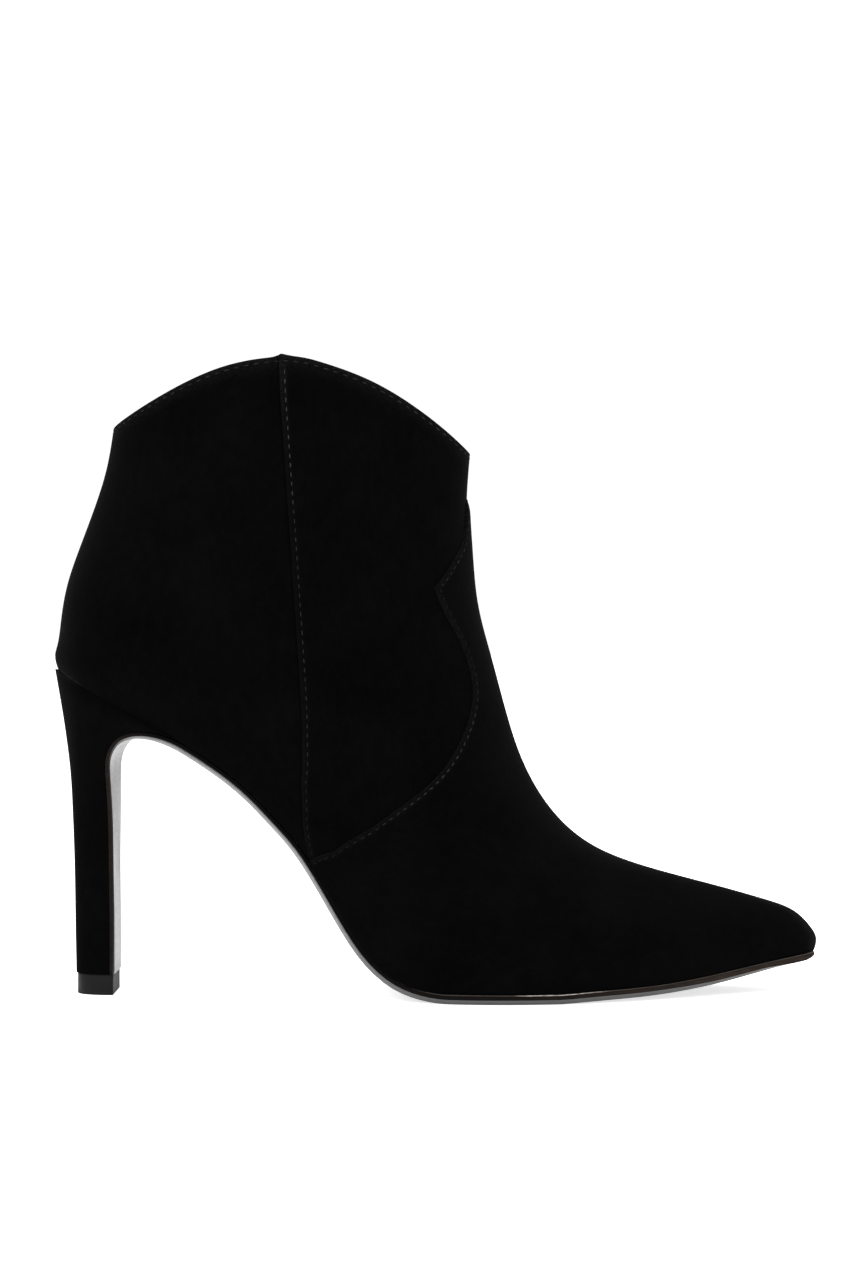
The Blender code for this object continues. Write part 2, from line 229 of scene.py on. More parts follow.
# Where the mesh's columns lie along the lap: distance ahead of the fold
SEAM_COLUMNS = (
    -3.0, -1.8, -0.9, -0.4, -0.14, 0.0, 0.06, 0.18, 0.42, 0.8, 1.1, 1.35, 1.6, 1.9, 2.4, 3.2, 4.6, 6.5, 8.7,
)
SEAM_REACH = SEAM_PROFILE[-1][0]    # how far ahead of its fold the seam raises the front panel

# Top of the lapped seam, where its folds stand over the collar line: distance ahead of the fold, rise
SEAM_TOP = (
    (-9.00, 0.32),
    (-2.20, 0.20),
    (-1.00, 0.42),
    (0.00, 0.75),
    (0.60, 1.00),
    (1.40, 0.90),
    (2.60, 0.60),
    (4.50, 0.36),
    (9.00, 0.40),
)

# Edge of the vamp: distance in from the edge, height over the upper
VAMP_PROFILE = (
    (0.00, -0.40),
    (0.05, 0.05),
    (0.13, 0.46),
    (0.28, 0.78),
    (0.48, 0.96),
    (0.75, 1.02),
    (0.98, 0.96),
    (1.20, 0.88),
    (1.42, 0.96),
    (1.80, 1.06),
    (2.50, 1.10),
    (3.40, 1.10),
)
VAMP_COLUMNS = tuple(inside for inside, height in VAMP_PROFILE)

# Collar edge: distance down from the edge, height over the upper
COLLAR_PROFILE = (
    (0.00, -0.30),
    (0.10, -0.12),
    (0.28, -0.02),
    (0.60, 0.02),
    (0.88, -0.04),
    (1.15, -0.13),
    (1.45, -0.04),
    (2.00, 0.00),
)

# How deep the leather is drawn in at its foot, and how fast that fades with the level
UPPER_TUCK = (0.12, 160)
VAMP_TUCK = (0.35, 170)

# How far out of the nap the stitches stand, which also paints the stitches that catch the light brighter, a
# painted highlight: level, share, for the side seams and for the vamp
SEAM_CLEAR_AND_GLINT = (
    (0.00, 0.15),
    (0.20, 0.20),
    (0.30, 0.36),
    (0.60, 0.48),
    (0.74, 0.48),
    (0.83, 0.86),
    (1.00, 1.00),
)
VAMP_CLEAR_AND_GLINT = (
    (0.00, 0.10),
    (0.26, 0.13),
    (0.36, 0.50),
    (0.45, 0.78),
    (0.58, 0.56),
    (0.68, 0.12),
    (0.76, 0.12),
    (0.82, 0.40),
    (1.00, 0.48),
)
COLLAR_CLEAR = 0.52

# Outer face of the sole flap from the waist, round the crest and down the heel breast
# x, z, half-width
FLAP = (
    (-96.0, 75.0, 25.2),
    (-102.6, 76.4, 24.2),
    (-108.0, 75.0, 22.0),
    (-110.7, 71.0, 19.6),
    (-111.2, 65.6, 17.3),
    (-110.9, 55.0, 13.9),
    (-110.8, 40.0, 11.6),
    (-110.6, 22.0, 11.1),
    (-110.6, 6.2, 11.1),
)
FLAP_SHARES = (0.240, 0.215)    # the last two places where the sole still follows the upper
FLAP_EASE = 25.0                # length over which the sole thins into the flap
WEDGE = 1.5                     # how far along the flap the heel's front edge lies

# Centre back line of the heel, top piece to seat
# level, x, z
HEEL_BACK = (
    (0.00, -122.8, 6.2),
    (0.18, -123.1, 22.0),
    (0.38, -123.4, 40.0),
    (0.54, -123.9, 55.0),
    (0.68, -124.5, 67.0),
    (0.80, -125.8, 78.0),
    (0.90, -127.4, 87.3),
    (1.00, -129.1, 96.2),
)
HEEL_ROUND = 0.68       # roundness of the heel's back: 1 is an ellipse, less is squarer
SEAT_SHARE = 0.208      # share along the boot where the heel's front edge lies

HEEL_RIM_START = 0.72   # level from which the heel's sides turn into its rim
HEEL_EDGE = 0.12        # rounding of the heel's edges
SEAT_JOINT = 0.05       # joint between the heel's cover and the upper's foot
HEEL_LIP = 0.8          # how far the heel's cover stands out behind the upper's foot
BREAST_JOINT = 0.02     # joint between the heel's cover and the sole flap

TOP_PIECE_HEIGHT = 6.15
TOP_PIECE_INSET = 0.4   # how far the top piece stands back under the heel
TOP_PIECE_EDGE = 0.24   # rounding of its edges

GAP = 0.3               # between the upper's foot and the sole
SOLE_FOREFOOT = 2.7     # thickness of the sole under the ball
SOLE_TOE = 1.85         # thickness at the toe
SOLE_WAIST = 2.75       # thickness at the waist
SOLE_FLAP = 1.4         # thickness of the flap
SOLE_MARGIN = 1.8       # how far the sole stands out past the upper at the ball
TOE_MARGIN = 0.9        # how far it stands out at the toe
TOE_NOSE = 7.0          # length over which its tip rounds up
BEVEL = 2.7             # how far in from the edge its underside is bevelled
BEVEL_WAIST = 2.2       # how much further in the bevel reaches at the waist
BEVEL_FLAP = 0.5        # how far in the bevel of the flap reaches
CREST = 0.22            # rounding of its top edge

LAYER_END = -38.0       # x where the sole's brown layer ends under the waist
LAYER_INSET = 0.16      # how far the layer stands back from the sole's edge
LAYER_TAPER = 1.2       # how much further back it stands at its end
LAYER_TAPER_LENGTH = 10.0

WALL = 1.8              # thickness of the upper's leathers together
SOCK_THICKNESS = 2.0
SOCK_CLEARANCE = 1.2    # between the sock's edge and the lining
SOCK_EDGE = 0.8         # rounding of the sock's edge

# The camera of the photograph
CAMERA_PLACE = (-18.0, -950.0, 105.4)
PICTURE_HEIGHT = 1280           # pixels
FOCAL_LENGTH = 3166.7           # pixels

TURN_STEP = 0.4         # degrees to either side at which the form's slope is taken
LEVEL_STEP = 0.004      # levels to either side at which it is taken
SHARE_STEP = 0.004      # shares to either side at which the slope of a line is taken

# Soft hollows and swells of the leather on the outer side, mirrored on the inner side
# level, turn, reach along, reach round, height
SOFT_FORMS = (
    (0.56, 38.0, 0.10, 16.0, 0.45),
    (0.34, 62.0, 0.14, 13.0, -0.40),
    (0.74, 60.0, 0.12, 16.0, -0.35),
    (0.86, 118.0, 0.10, 16.0, 0.35),
    (0.62, 118.0, 0.09, 12.0, -0.40),
    (0.47, 108.0, 0.06, 10.0, 0.30),
    (0.90, 30.0, 0.07, 14.0, 0.30),
    (0.15, 40.0, 0.07, 18.0, 0.25),
)


# Sizes and colours

def size_setting(name, description, default, low, high):
    """A length for the panel, in metres."""
    return bpy.props.FloatProperty(
        name=name, description=description, default=default, min=low, max=high, precision=5, unit="LENGTH")


def colour_setting(name, description, default):
    """A colour for the panel."""
    return bpy.props.FloatVectorProperty(
        name=name, description=description, default=default, min=0, max=1, precision=4, subtype="COLOR")


def power_setting(name, description, default):
    """A lamp's power for the panel, in watts."""
    return bpy.props.FloatProperty(
        name=name, description=description, default=default, min=0, max=200, unit="POWER")


class BootSizes(bpy.types.PropertyGroup):
    """Sizes of the boot's leathers and stitching"""

    suede: size_setting("Suede", "Thickness of the upper's suede", 0.0011, 0.0005, 0.002)
    lining: size_setting("Lining", "Thickness of the lining", 0.0006, 0.0003, 0.002)
    vamp: size_setting("Vamp", "Thickness of the vamp's suede", 0.0009, 0.0005, 0.002)
    thread: size_setting("Thread", "Thickness of the sewing thread", 0.00042, 0.0002, 0.001)
    collar_pitch: size_setting(
        "Collar pitch", "From one stitch to the next along the collar", 0.0030, 0.001, 0.005)
    seam_pitch: size_setting(
        "Seam pitch", "From one stitch to the next along the side seams", 0.0027, 0.001, 0.005)
    vamp_pitch: size_setting(
        "Vamp pitch", "From one stitch to the next along the vamp's edge", 0.00248, 0.001, 0.005)
    collar_margin: size_setting(
        "Collar margin", "From the collar's edge down to its stitching", 0.00115, 0.0005, 0.004)
    seam_margin: size_setting(
        "Seam margin", "From the side seam's fold to its stitching", 0.0016, 0.0005, 0.004)
    vamp_margin: size_setting(
        "Vamp margin", "From the vamp's edge in to its stitching", 0.00125, 0.0005, 0.004)


class BootColours(bpy.types.PropertyGroup):
    """Colours of the boot's finishes"""

    suede_deep: colour_setting(
        "Suede, deep", "Suede where the nap lies away from the light", (0.0004, 0.0004, 0.0004))
    suede_raised: colour_setting(
        "Suede, raised", "Suede where the nap stands up", (0.0019, 0.0019, 0.00195))
    # Pale colour for the suede's cut edges and folds, and also for painted highlights on the seam folds,
    # the vamp's edge and toe, the heel's lip and the outer side's foot
    suede_edge_and_highlight: colour_setting(
        "Suede, cut edge", "Raw edges and folds of the suede", (0.0078, 0.0078, 0.0080))
    thread: colour_setting("Thread", "Sewing thread", (0.0225, 0.0225, 0.0230))
    lining: colour_setting("Lining", "Lining leather", (0.016, 0.0155, 0.015))
    sock: colour_setting("Sock", "Leather of the sock inside", (0.020, 0.019, 0.018))
    sole: colour_setting("Sole", "Lacquered sole leather", (0.006, 0.006, 0.0065))
    ink: colour_setting("Edge ink", "Black ink on the sole's edge", (0.0014, 0.0014, 0.0015))
    worn: colour_setting("Worn edge", "Sole's edge where its ink is thin", (0.0213, 0.0161, 0.0132))
    layer: colour_setting("Sole layer", "Bare brown leather on top of the sole", (0.030, 0.019, 0.0125))
    # Pale colour of the sole layer's top edge under the ball: partly worn by rubbing, partly a painted
    # highlight
    rubbed_and_highlight: colour_setting("Rubbed edge", "Sole's top edge where it is rubbed pale", (0.40, 0.36, 0.33))
    top_piece: colour_setting("Top piece", "Hard tip of the heel", (0.0034, 0.0035, 0.0035))


class BootStage(bpy.types.PropertyGroup):
    """Floor and lights"""

    floor: colour_setting("Floor", "Colour of the floor", (0.93, 0.93, 0.93))
    glow: bpy.props.FloatProperty(
        name="Floor glow", description="Light that comes through the floor, as from a light table",
        default=0.68, min=0, max=2)
    sky: bpy.props.FloatProperty(
        name="Sky", description="Strength of the even light from all round", default=1.05, min=0, max=4)
    key: power_setting("Key light", "Power of the soft light in front", 9.0)
    fill: power_setting("Fill light", "Power of the soft light above", 7.0)


# Curves

def spline(knots, values):
    """A natural cubic spline through the rows of values at the knots, for one knot or an array of them."""
    knots = np.asarray(knots, float)
    values = np.asarray(values, float)
    count = len(knots)
    step = np.diff(knots)
    slope = np.diff(values, axis=0) / step[:, None]
    system = np.eye(count)
    right = np.zeros_like(values)
    for i in range(1, count - 1):
        system[i, i - 1:i + 2] = step[i - 1], 2 * (step[i - 1] + step[i]), step[i]
        right[i] = 6 * (slope[i] - slope[i - 1])
    bend = np.linalg.solve(system, right)

    def at(knot):
        knot = np.asarray(knot, float)
        i = np.clip(np.searchsorted(knots, knot) - 1, 0, count - 2)
        b = ((knot - knots[i]) / step[i])[..., None]
        a = 1 - b
        curve = ((a ** 3 - a) * bend[i] + (b ** 3 - b) * bend[i + 1]) * step[i][..., None] ** 2 / 6
        return a * values[i] + b * values[i + 1] + curve

    return at


def columns_of(table):
    """A function of the table's first column that gives its other columns."""
    rows = np.array(table, float)
    return spline(rows[:, 0], rows[:, 1:])


def profile(table, distance):
    """Height of a profile table at a distance, in straight steps."""
    rows = np.array(table, float)
    return np.interp(distance, rows[:, 0], rows[:, 1])


def patch(bottom, top, back, front, share, level, lean=1.0):
    """A point of the side view inside four edge curves, by share from back to front and level.
    A lean over 1 keeps the shape of the front curve nearer the front."""
    share, level = np.broadcast_arrays(np.asarray(share, float), np.asarray(level, float))
    along, up = share[..., None], level[..., None]

    def straight(at):
        return (1 - up) * bottom(at) + up * top(at)

    behind = (1 - along) * (back(level) - straight(0))
    ahead = along ** lean * (front(level) - straight(1))
    return straight(share) + behind + ahead


def share_of(turn):
    """Share along the boot of a turn from the centre back."""
    return (1 - np.cos(np.radians(turn))) / 2


def turn_of(share):
    """Turn from the centre back of a share along the boot."""
    return np.degrees(np.arccos(1 - 2 * np.asarray(share, float)))


def ease(value, low, high):
    """Rises smoothly from 0 at low to 1 at high."""
    value = np.clip((np.asarray(value, float) - low) / (high - low), 0, 1)
    return value * value * (3 - 2 * value)


def unit(vectors):
    """The vectors at length 1."""
    return vectors / np.linalg.norm(vectors, axis=-1, keepdims=True)


def lengths_along(points):
    """Length of a line of points from its start to each of them."""
    return np.hstack((0, np.cumsum(np.linalg.norm(np.diff(points, axis=0), axis=-1))))


def side_normal(curve, share):
    """Unit normal of a side-view curve that runs heel to toe, pointing up."""
    share = np.asarray(share, float)
    along = curve(np.minimum(share + SHARE_STEP, 1.0)) - curve(np.maximum(share - SHARE_STEP, 0.0))
    return unit(np.stack((-along[..., 1], along[..., 0]), -1))


feather = columns_of(FEATHER)
collar = columns_of(COLLAR)
back_line = columns_of(BACK)
front_line = columns_of(FRONT)
swing = columns_of(SWING)
seam = columns_of(SEAM)
vamp_wing = columns_of(VAMP_WING)
vamp_tongue = columns_of(VAMP_TONGUE)
heel_back = columns_of(HEEL_BACK)

width_table = np.array(WIDTHS, float)
width_ends = np.zeros((len(WIDTHS), 1))
width_columns = np.hstack((width_ends, width_table[:, 1:], width_ends))
width_rows = spline([0, *turn_of(WIDTH_SHARES), 180], width_columns.T)
width_levels = spline(width_table[:, 0], np.eye(len(WIDTHS)))


# The form of the upper

def half_width(turn, level):
    """Half-width of the upper at a turn from 0 to 180."""
    return (width_rows(turn) * width_levels(level)).sum(-1)


def form(turn, level):
    """A point of the upper's outer face."""
    turn, level = np.broadcast_arrays(np.asarray(turn, float) % 360, np.asarray(level, float))
    side = np.where(turn <= 180, -1.0, 1.0)
    turn = np.where(turn <= 180, turn, 360 - turn)
    share = share_of(turn)
    flat = patch(feather, collar, back_line, front_line, share, level, FRONT_LEAN)
    shift = swing(share)[..., 0] * (1 - level) ** SWING_FADE
    return np.stack((flat[..., 0], shift + side * half_width(turn, level), flat[..., 1]), -1)


def level_span(level):
    """Levels just under and just over a level, within the upper."""
    return np.maximum(level - LEVEL_STEP, 0.0), np.minimum(level + LEVEL_STEP, 1.0)


def step_round(turn, level):
    """The form's way round the boot from just behind a turn to just past it."""
    return form(turn + TURN_STEP, level) - form(turn - TURN_STEP, level)


def outward(turn, level):
    """The unit normal of the form, pointing out of the boot."""
    turn, level = np.broadcast_arrays(np.asarray(turn, float), np.asarray(level, float))
    low, high = level_span(level)
    return unit(np.cross(step_round(turn, level), form(turn, high) - form(turn, low)))


def height_rate(turn, level):
    """Millimetres up the boot for one unit of level."""
    low, high = level_span(level)
    return np.linalg.norm(form(turn, high) - form(turn, low), axis=-1) / (high - low)


def from_back(turn):
    """Turn from the centre back on either side, 0 to 180."""
    turn = np.asarray(turn, float) % 360
    return np.minimum(turn, 360 - turn)


def nearest(points, line):
    """Distance from each point to the nearest place of a line of points."""
    flat = points.reshape(-1, 3)
    start, along = line[:-1], np.diff(line, axis=0)
    square = (along ** 2).sum(-1)
    found = np.empty(len(flat))
    for first in range(0, len(flat), 2000):
        some = flat[first:first + 2000, None] - start
        share = np.clip((some * along).sum(-1) / square, 0, 1)
        found[first:first + 2000] = np.linalg.norm(some - share[..., None] * along, axis=-1).min(-1)
    return found.reshape(points.shape[:-1])


def seam_line(inner, count=260):
    """Turns and levels along a side seam, from the sole to the collar."""
    level = np.linspace(0, 1, count)
    turn = seam(level)[:, 0]
    return (360 - turn if inner else turn), level


def ahead_of_seam(turn, level):
    """Millimetres over the leather ahead of the side seam's fold, less than 0 on the back panel."""
    turn, level = np.broadcast_arrays(np.asarray(turn, float), np.asarray(level, float))
    past = from_back(turn) - seam(level)[..., 0]
    found = np.where(past < 0, -99.0, 99.0)
    for inner in (False, True):
        near = ((turn % 360 > 180) == inner) & (np.abs(past) < 40)
        far = nearest(form(turn[near], level[near]), form(*seam_line(inner)))
        found[near] = far * np.sign(past[near])
    return found


def soft_form(turn, level):
    """Height of the soft hollows and swells of the leather."""
    height = 0.0
    for at_level, at_turn, along, around, swell in SOFT_FORMS:
        far = ((level - at_level) / along) ** 2 + ((from_back(turn) - at_turn) / around) ** 2
        height = height + swell * np.exp(-far)
    return height * ease(level, 0.0, 0.08) * (1 - ease(level, 0.94, 1.0))


def tuck(level, depth, fade):
    """How deep the leather is drawn in near its foot."""
    return depth * np.exp(-level * fade)


def upper_relief(turn, level):
    """Height of the upper's face over the plain form: soft forms, lapped seam, rolled collar edge."""
    turn, level = np.broadcast_arrays(np.asarray(turn, float), np.asarray(level, float))
    down = (1 - level) * height_rate(turn, level)
    height = soft_form(turn, level) + profile(SEAM_PROFILE, ahead_of_seam(turn, level))
    return height + profile(COLLAR_PROFILE, down) - tuck(level, *UPPER_TUCK)


# Meshes

def boot_collection():
    """The collection that holds the boot's pieces."""
    name = "heeled_ankle_boot"
    found = bpy.data.collections.get(name)
    if found is None:
        found = bpy.data.collections.new(name)
        bpy.context.scene.collection.children.link(found)
    return found


def make_piece(name, mesh, finishes, replaces=()):
    """An object from a bmesh in millimetres, smooth, with its materials, riding on the boot."""
    bmesh.ops.scale(mesh, vec=(MM, MM, MM), verts=mesh.verts)
    data = bpy.data.meshes.new(name)
    mesh.to_mesh(data)
    mesh.free()
    data.shade_smooth()
    for each in finishes:
        data.materials.append(each)
    made = bpy.data.objects.new(name, data)
    boot_collection().objects.link(made)
    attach(made, "root")
    if replaces:
        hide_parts(*replaces)
    return made


def grid_of(points, edge=None, zones=None):
    """A bmesh grid whose rows and columns lie at the points. Columns or rows that meet are joined.
    The edge values, one for each point, mark cut edges, folds and wear, and painted highlights, for the
    finish.
    The zones, one for each column of faces, tell which of the piece's materials it has."""
    rows, columns = len(points) - 1, len(points[0]) - 1
    mesh = bmesh.new()
    mark = mesh.verts.layers.float.new("edge")
    bmesh.ops.create_grid(mesh, x_segments=columns, y_segments=rows, size=0.5)
    if zones is not None:
        for face in mesh.faces:
            face.material_index = zones[int((face.calc_center_median().x + 0.5) * columns)]
    for vert in mesh.verts:
        column = round((vert.co.x + 0.5) * columns)
        row = round((vert.co.y + 0.5) * rows)
        vert.co = points[row, column]
        vert[mark] = 0.0 if edge is None else edge[row, column]
    bmesh.ops.remove_doubles(mesh, verts=mesh.verts, dist=0.012)
    return mesh


def close_ends(mesh):
    """Fills both ends of a tube and turns its faces outwards."""
    ends = [each for each in mesh.edges if each.is_boundary]
    bmesh.ops.holes_fill(mesh, edges=ends, sides=0)
    bmesh.ops.recalc_face_normals(mesh, faces=mesh.faces)


def round_edges(mesh, width, least, segments=3):
    """Rounds the edges of a mesh that are sharper than a number of degrees."""
    least = math.radians(least)
    sharp = [each for each in mesh.edges if each.is_manifold and each.calc_face_angle() > least]
    bmesh.ops.bevel(
        mesh, geom=sharp, offset=width, offset_type="OFFSET", affect="EDGES", segments=segments,
        profile=0.5, material=-1, clamp_overlap=True)


def thicken(made, thickness):
    """Gives a sheet its thickness, inwards from its outer face."""
    wall = made.modifiers.new("wall", "SOLIDIFY")
    wall.thickness = thickness
    wall.offset = -1
    wall.use_quality_normals = True


# Finishes

class Finish:
    """A material built from nodes, with patterns in millimetres on the piece's own coordinates."""

    def __init__(self, name):
        self.material = bpy.data.materials.new(name)
        self.material.use_nodes = True
        self.tree = self.material.node_tree
        self.shader = self.tree.nodes["Principled BSDF"]

    def set(self, **values):
        """Sets the shader's own sockets."""
        for name, value in values.items():
            self.shader.inputs[name.replace("_", " ")].default_value = value

    def fill(self, socket, value):
        """Links a value to a node's socket, or sets it there."""
        if isinstance(value, bpy.types.NodeSocket):
            self.tree.links.new(value, socket)
        else:
            socket.default_value = value

    def node(self, kind, **inputs):
        """A new node with its inputs filled by name."""
        made = self.tree.nodes.new(kind)
        for name, value in inputs.items():
            self.fill(made.inputs[name.replace("_", " ")], value)
        return made

    def math(self, operation, *values):
        """The result of an operation on values."""
        made = self.tree.nodes.new("ShaderNodeMath")
        made.operation = operation
        for socket, value in zip(made.inputs, values):
            self.fill(socket, value)
        return made.outputs[0]

    def place(self, stretch=(1, 1, 1)):
        """The piece's coordinates in millimetres, stretched."""
        where = self.node("ShaderNodeTexCoord")
        scale = [each / MM for each in stretch]
        return self.node("ShaderNodeMapping", Vector=where.outputs["Object"], Scale=scale).outputs[0]

    def noise(self, per_mm, detail=2.0, rough=0.5, stretch=(1, 1, 1)):
        """Noise with this many features to the millimetre."""
        made = self.node(
            "ShaderNodeTexNoise", Vector=self.place(stretch), Scale=per_mm, Detail=detail, Roughness=rough)
        return made.outputs[0]

    def sum(self, *parts):
        """A weighted sum of values, given as value, weight."""
        total = 0.0
        for value, weight in parts:
            total = self.math("MULTIPLY_ADD", value, weight, total)
        return total

    def range(self, value, low, high, to_low=0.0, to_high=1.0):
        """The value taken from one range to another and held there."""
        made = self.node(
            "ShaderNodeMapRange", Value=value, From_Min=low, From_Max=high, To_Min=to_low, To_Max=to_high)
        return made.outputs[0]

    def blend(self, factor, low, high):
        """A colour between two, by a factor."""
        made = self.tree.nodes.new("ShaderNodeMix")
        made.data_type = "RGBA"
        self.fill(made.inputs[0], factor)
        for socket, value in ((made.inputs[6], low), (made.inputs[7], high)):
            self.fill(socket, value if isinstance(value, bpy.types.NodeSocket) else (*value, 1))
        return made.outputs[2]

    def shades(self, value, colour, dark, light, low=0.35, high=0.65):
        """A colour from a dark to a light share of itself, as the value goes from low to high."""
        ends = [[each * share for each in colour] for share in (dark, light)]
        return self.blend(self.range(value, low, high), *ends)

    def edge(self):
        """The mark of cut edges, folds and wear, of how far stitches stand out of the nap, and of painted
        highlights.
        """
        made = self.tree.nodes.new("ShaderNodeAttribute")
        made.attribute_name = "edge"
        return made.outputs["Fac"]

    def connect(self, name, value):
        """Links a value to one of the shader's sockets."""
        self.tree.links.new(value, self.shader.inputs[name])

    def bump(self, height, millimetres, strength=1.0):
        """Raises the surface by a height of this many millimetres."""
        made = self.node("ShaderNodeBump", Height=height, Distance=millimetres * MM, Strength=strength)
        self.connect("Normal", made.outputs[0])


def suede(name, colours, nap=(1.0, 1.0, 0.65)):
    """Black suede: brushed nap in soft patches, fine fibres, paler cut edges and folds, and painted
    highlights where it is marked.
    """
    finish = Finish(name)
    patches = finish.noise(0.05, 3.0, 0.5)
    brush = finish.noise(0.36, 4.0, 0.62, nap)
    fibres = finish.noise(3.4, 2.0, 0.6)
    tone = finish.sum((patches, 0.34), (brush, 0.28), (fibres, 0.38))
    tone = finish.range(tone, 0.30, 0.70)
    colour = finish.blend(tone, colours.suede_deep, colours.suede_raised)
    frayed = finish.range(finish.noise(1.5, 3.0, 0.7), 0.36, 0.64, 0.2, 1.8)
    # Paler where marked: cut edges and folds, and the painted highlights
    raw_and_highlight = finish.math("MULTIPLY", finish.edge(), frayed)
    finish.connect("Base Color", finish.blend(raw_and_highlight, colour, colours.suede_edge_and_highlight))
    finish.connect("Roughness", finish.range(fibres, 0.3, 0.7, 0.86, 1.0))
    finish.set(Sheen_Weight=0.009, Sheen_Roughness=0.42, Sheen_Tint=(0.88, 0.88, 0.92, 1))
    finish.set(Specular_IOR_Level=0.007)
    finish.bump(finish.sum((brush, 0.45), (fibres, 0.55)), 0.16, 0.8)
    return finish.material


def smooth_leather(name, colour, roughness=0.6):
    """Fine-grained leather with pores and slight unevenness of tone."""
    finish = Finish(name)
    clouds = finish.noise(0.09, 3.0)
    grain = finish.node("ShaderNodeTexVoronoi", Vector=finish.place(), Scale=1.35)
    grain.feature = "SMOOTH_F1"
    fine = finish.noise(4.0, 2.0)
    tone = finish.sum((clouds, 0.7), (fine, 0.3))
    finish.connect("Base Color", finish.shades(tone, colour, 0.7, 1.35))
    finish.connect("Roughness", finish.range(clouds, 0.3, 0.7, roughness - 0.06, roughness + 0.08))
    finish.set(Specular_IOR_Level=0.2)
    finish.bump(finish.sum((grain.outputs[0], 0.7), (fine, 0.3)), 0.07, 0.7)
    return finish.material


def lacquered_leather(name, colour):
    """Glossy black sole leather with faint strokes of the polish along it."""
    finish = Finish(name)
    strokes = finish.noise(1.1, 3.0, 0.6, (0.12, 1.0, 1.0))
    clouds = finish.noise(0.06, 2.0)
    pores = finish.noise(5.0, 2.0)
    finish.connect("Base Color", finish.shades(clouds, colour, 0.75, 1.4))
    tone = finish.sum((strokes, 0.6), (clouds, 0.4))
    finish.connect("Roughness", finish.range(tone, 0.35, 0.65, 0.30, 0.44))
    finish.set(Specular_IOR_Level=0.47)
    finish.bump(finish.sum((strokes, 0.5), (pores, 0.5)), 0.02, 0.5)
    return finish.material


def inked_edge(name, ink, worn):
    """Inked and waxed edge of the sole, worn to brown in streaks where it is marked."""
    finish = Finish(name)
    streaks = finish.noise(0.8, 4.0, 0.65, (0.25, 0.25, 1.6))
    wear = finish.math("MULTIPLY", finish.edge(), finish.range(streaks, 0.35, 0.6, 0.55, 1.0))
    finish.connect("Base Color", finish.blend(wear, ink, worn))
    finish.connect("Roughness", finish.range(streaks, 0.3, 0.7, 0.30, 0.46))
    finish.set(Specular_IOR_Level=0.018)
    finish.bump(streaks, 0.04, 0.6)
    return finish.material


def bare_leather(name, colour, rubbed_and_highlight):
    """Bare brown leather, seen as a cut edge with its fibres along it, pale where it is marked: partly worn
    by rubbing, partly a painted highlight.
    """
    finish = Finish(name)
    fibres = finish.noise(1.6, 4.0, 0.7, (0.3, 0.3, 2.0))
    patches = finish.noise(0.13, 3.0, 0.6)
    tone = finish.sum((fibres, 0.4), (patches, 0.6))
    brown = finish.shades(tone, colour, 0.25, 1.5, 0.38, 0.62)
    bare = finish.math("MULTIPLY", finish.edge(), finish.range(fibres, 0.36, 0.56))
    finish.connect("Base Color", finish.blend(bare, brown, rubbed_and_highlight))
    finish.connect("Roughness", finish.range(fibres, 0.3, 0.7, 0.6, 0.8))
    finish.bump(fibres, 0.05, 0.8)
    return finish.material


def hard_rubber(name, colour):
    """Moulded top piece: satin, with a fine moulded grain."""
    finish = Finish(name)
    clouds = finish.noise(0.25, 3.0)
    grain = finish.noise(6.0, 2.0)
    finish.connect("Base Color", finish.shades(clouds, colour, 0.85, 1.2))
    finish.connect("Roughness", finish.range(clouds, 0.3, 0.7, 0.5, 0.66))
    finish.set(Specular_IOR_Level=0.11)
    finish.bump(grain, 0.03, 0.8)
    return finish.material


def waxed_thread(name, colour, nap):
    """Sewing thread with the twist of its strands, veiled by the nap where it is marked low; the same mark
    paints the stitches that catch the light brighter, a painted highlight.
    """
    finish = Finish(name)
    twist = finish.noise(5.0, 2.0)
    tone = finish.noise(0.5, 2.0)
    bare = finish.shades(tone, colour, 0.7, 1.35)
    finish.connect("Base Color", finish.blend(finish.edge(), nap, bare))
    finish.connect("Roughness", finish.range(twist, 0.3, 0.7, 0.6, 0.8))
    finish.set(Specular_IOR_Level=0.03)
    finish.bump(twist, 0.06, 0.8)
    return finish.material


# The upper

def round_columns(level, behind=44, ahead=48):
    """Turns of the columns from the centre back to the centre front, a row for each level."""
    at_seam = seam(level)
    low, high = level_span(level)
    along = unit(form(seam(high)[:, 0], high) - form(seam(low)[:, 0], low))
    around = step_round(at_seam[:, 0], level) / (2 * TURN_STEP)
    rate = np.linalg.norm(np.cross(around, along), axis=-1)[:, None]
    first = at_seam + SEAM_COLUMNS[0] / rate
    back = first * np.linspace(0, 1, behind)[:-1]
    lap = at_seam + np.array(SEAM_COLUMNS) / rate
    last = at_seam + SEAM_REACH / rate
    front = last + (180 - last) * np.linspace(0, 1, ahead)
    return np.hstack((back, lap, front))


def both_sides(turns):
    """Turns of the outer side's columns, then of the inner side's."""
    return np.hstack((turns, 360 - turns[:, -2::-1]))


def there_and_back(values):
    """A row's values and, after the last, the same ones back to the first."""
    return np.hstack((values, values[:, -2::-1]))


def upper_levels():
    """Levels of the upper's rows, close at its foot and collar."""
    low = np.array((0.0, 0.002, 0.006, 0.012, 0.02, 0.03))
    high = 1 - np.array((0.022, 0.017, 0.013, 0.010, 0.0075, 0.005, 0.003, 0.0014, 0.0006, 0.0))
    return np.hstack((low, np.linspace(0.03, 0.978, 96)[1:-1], high))


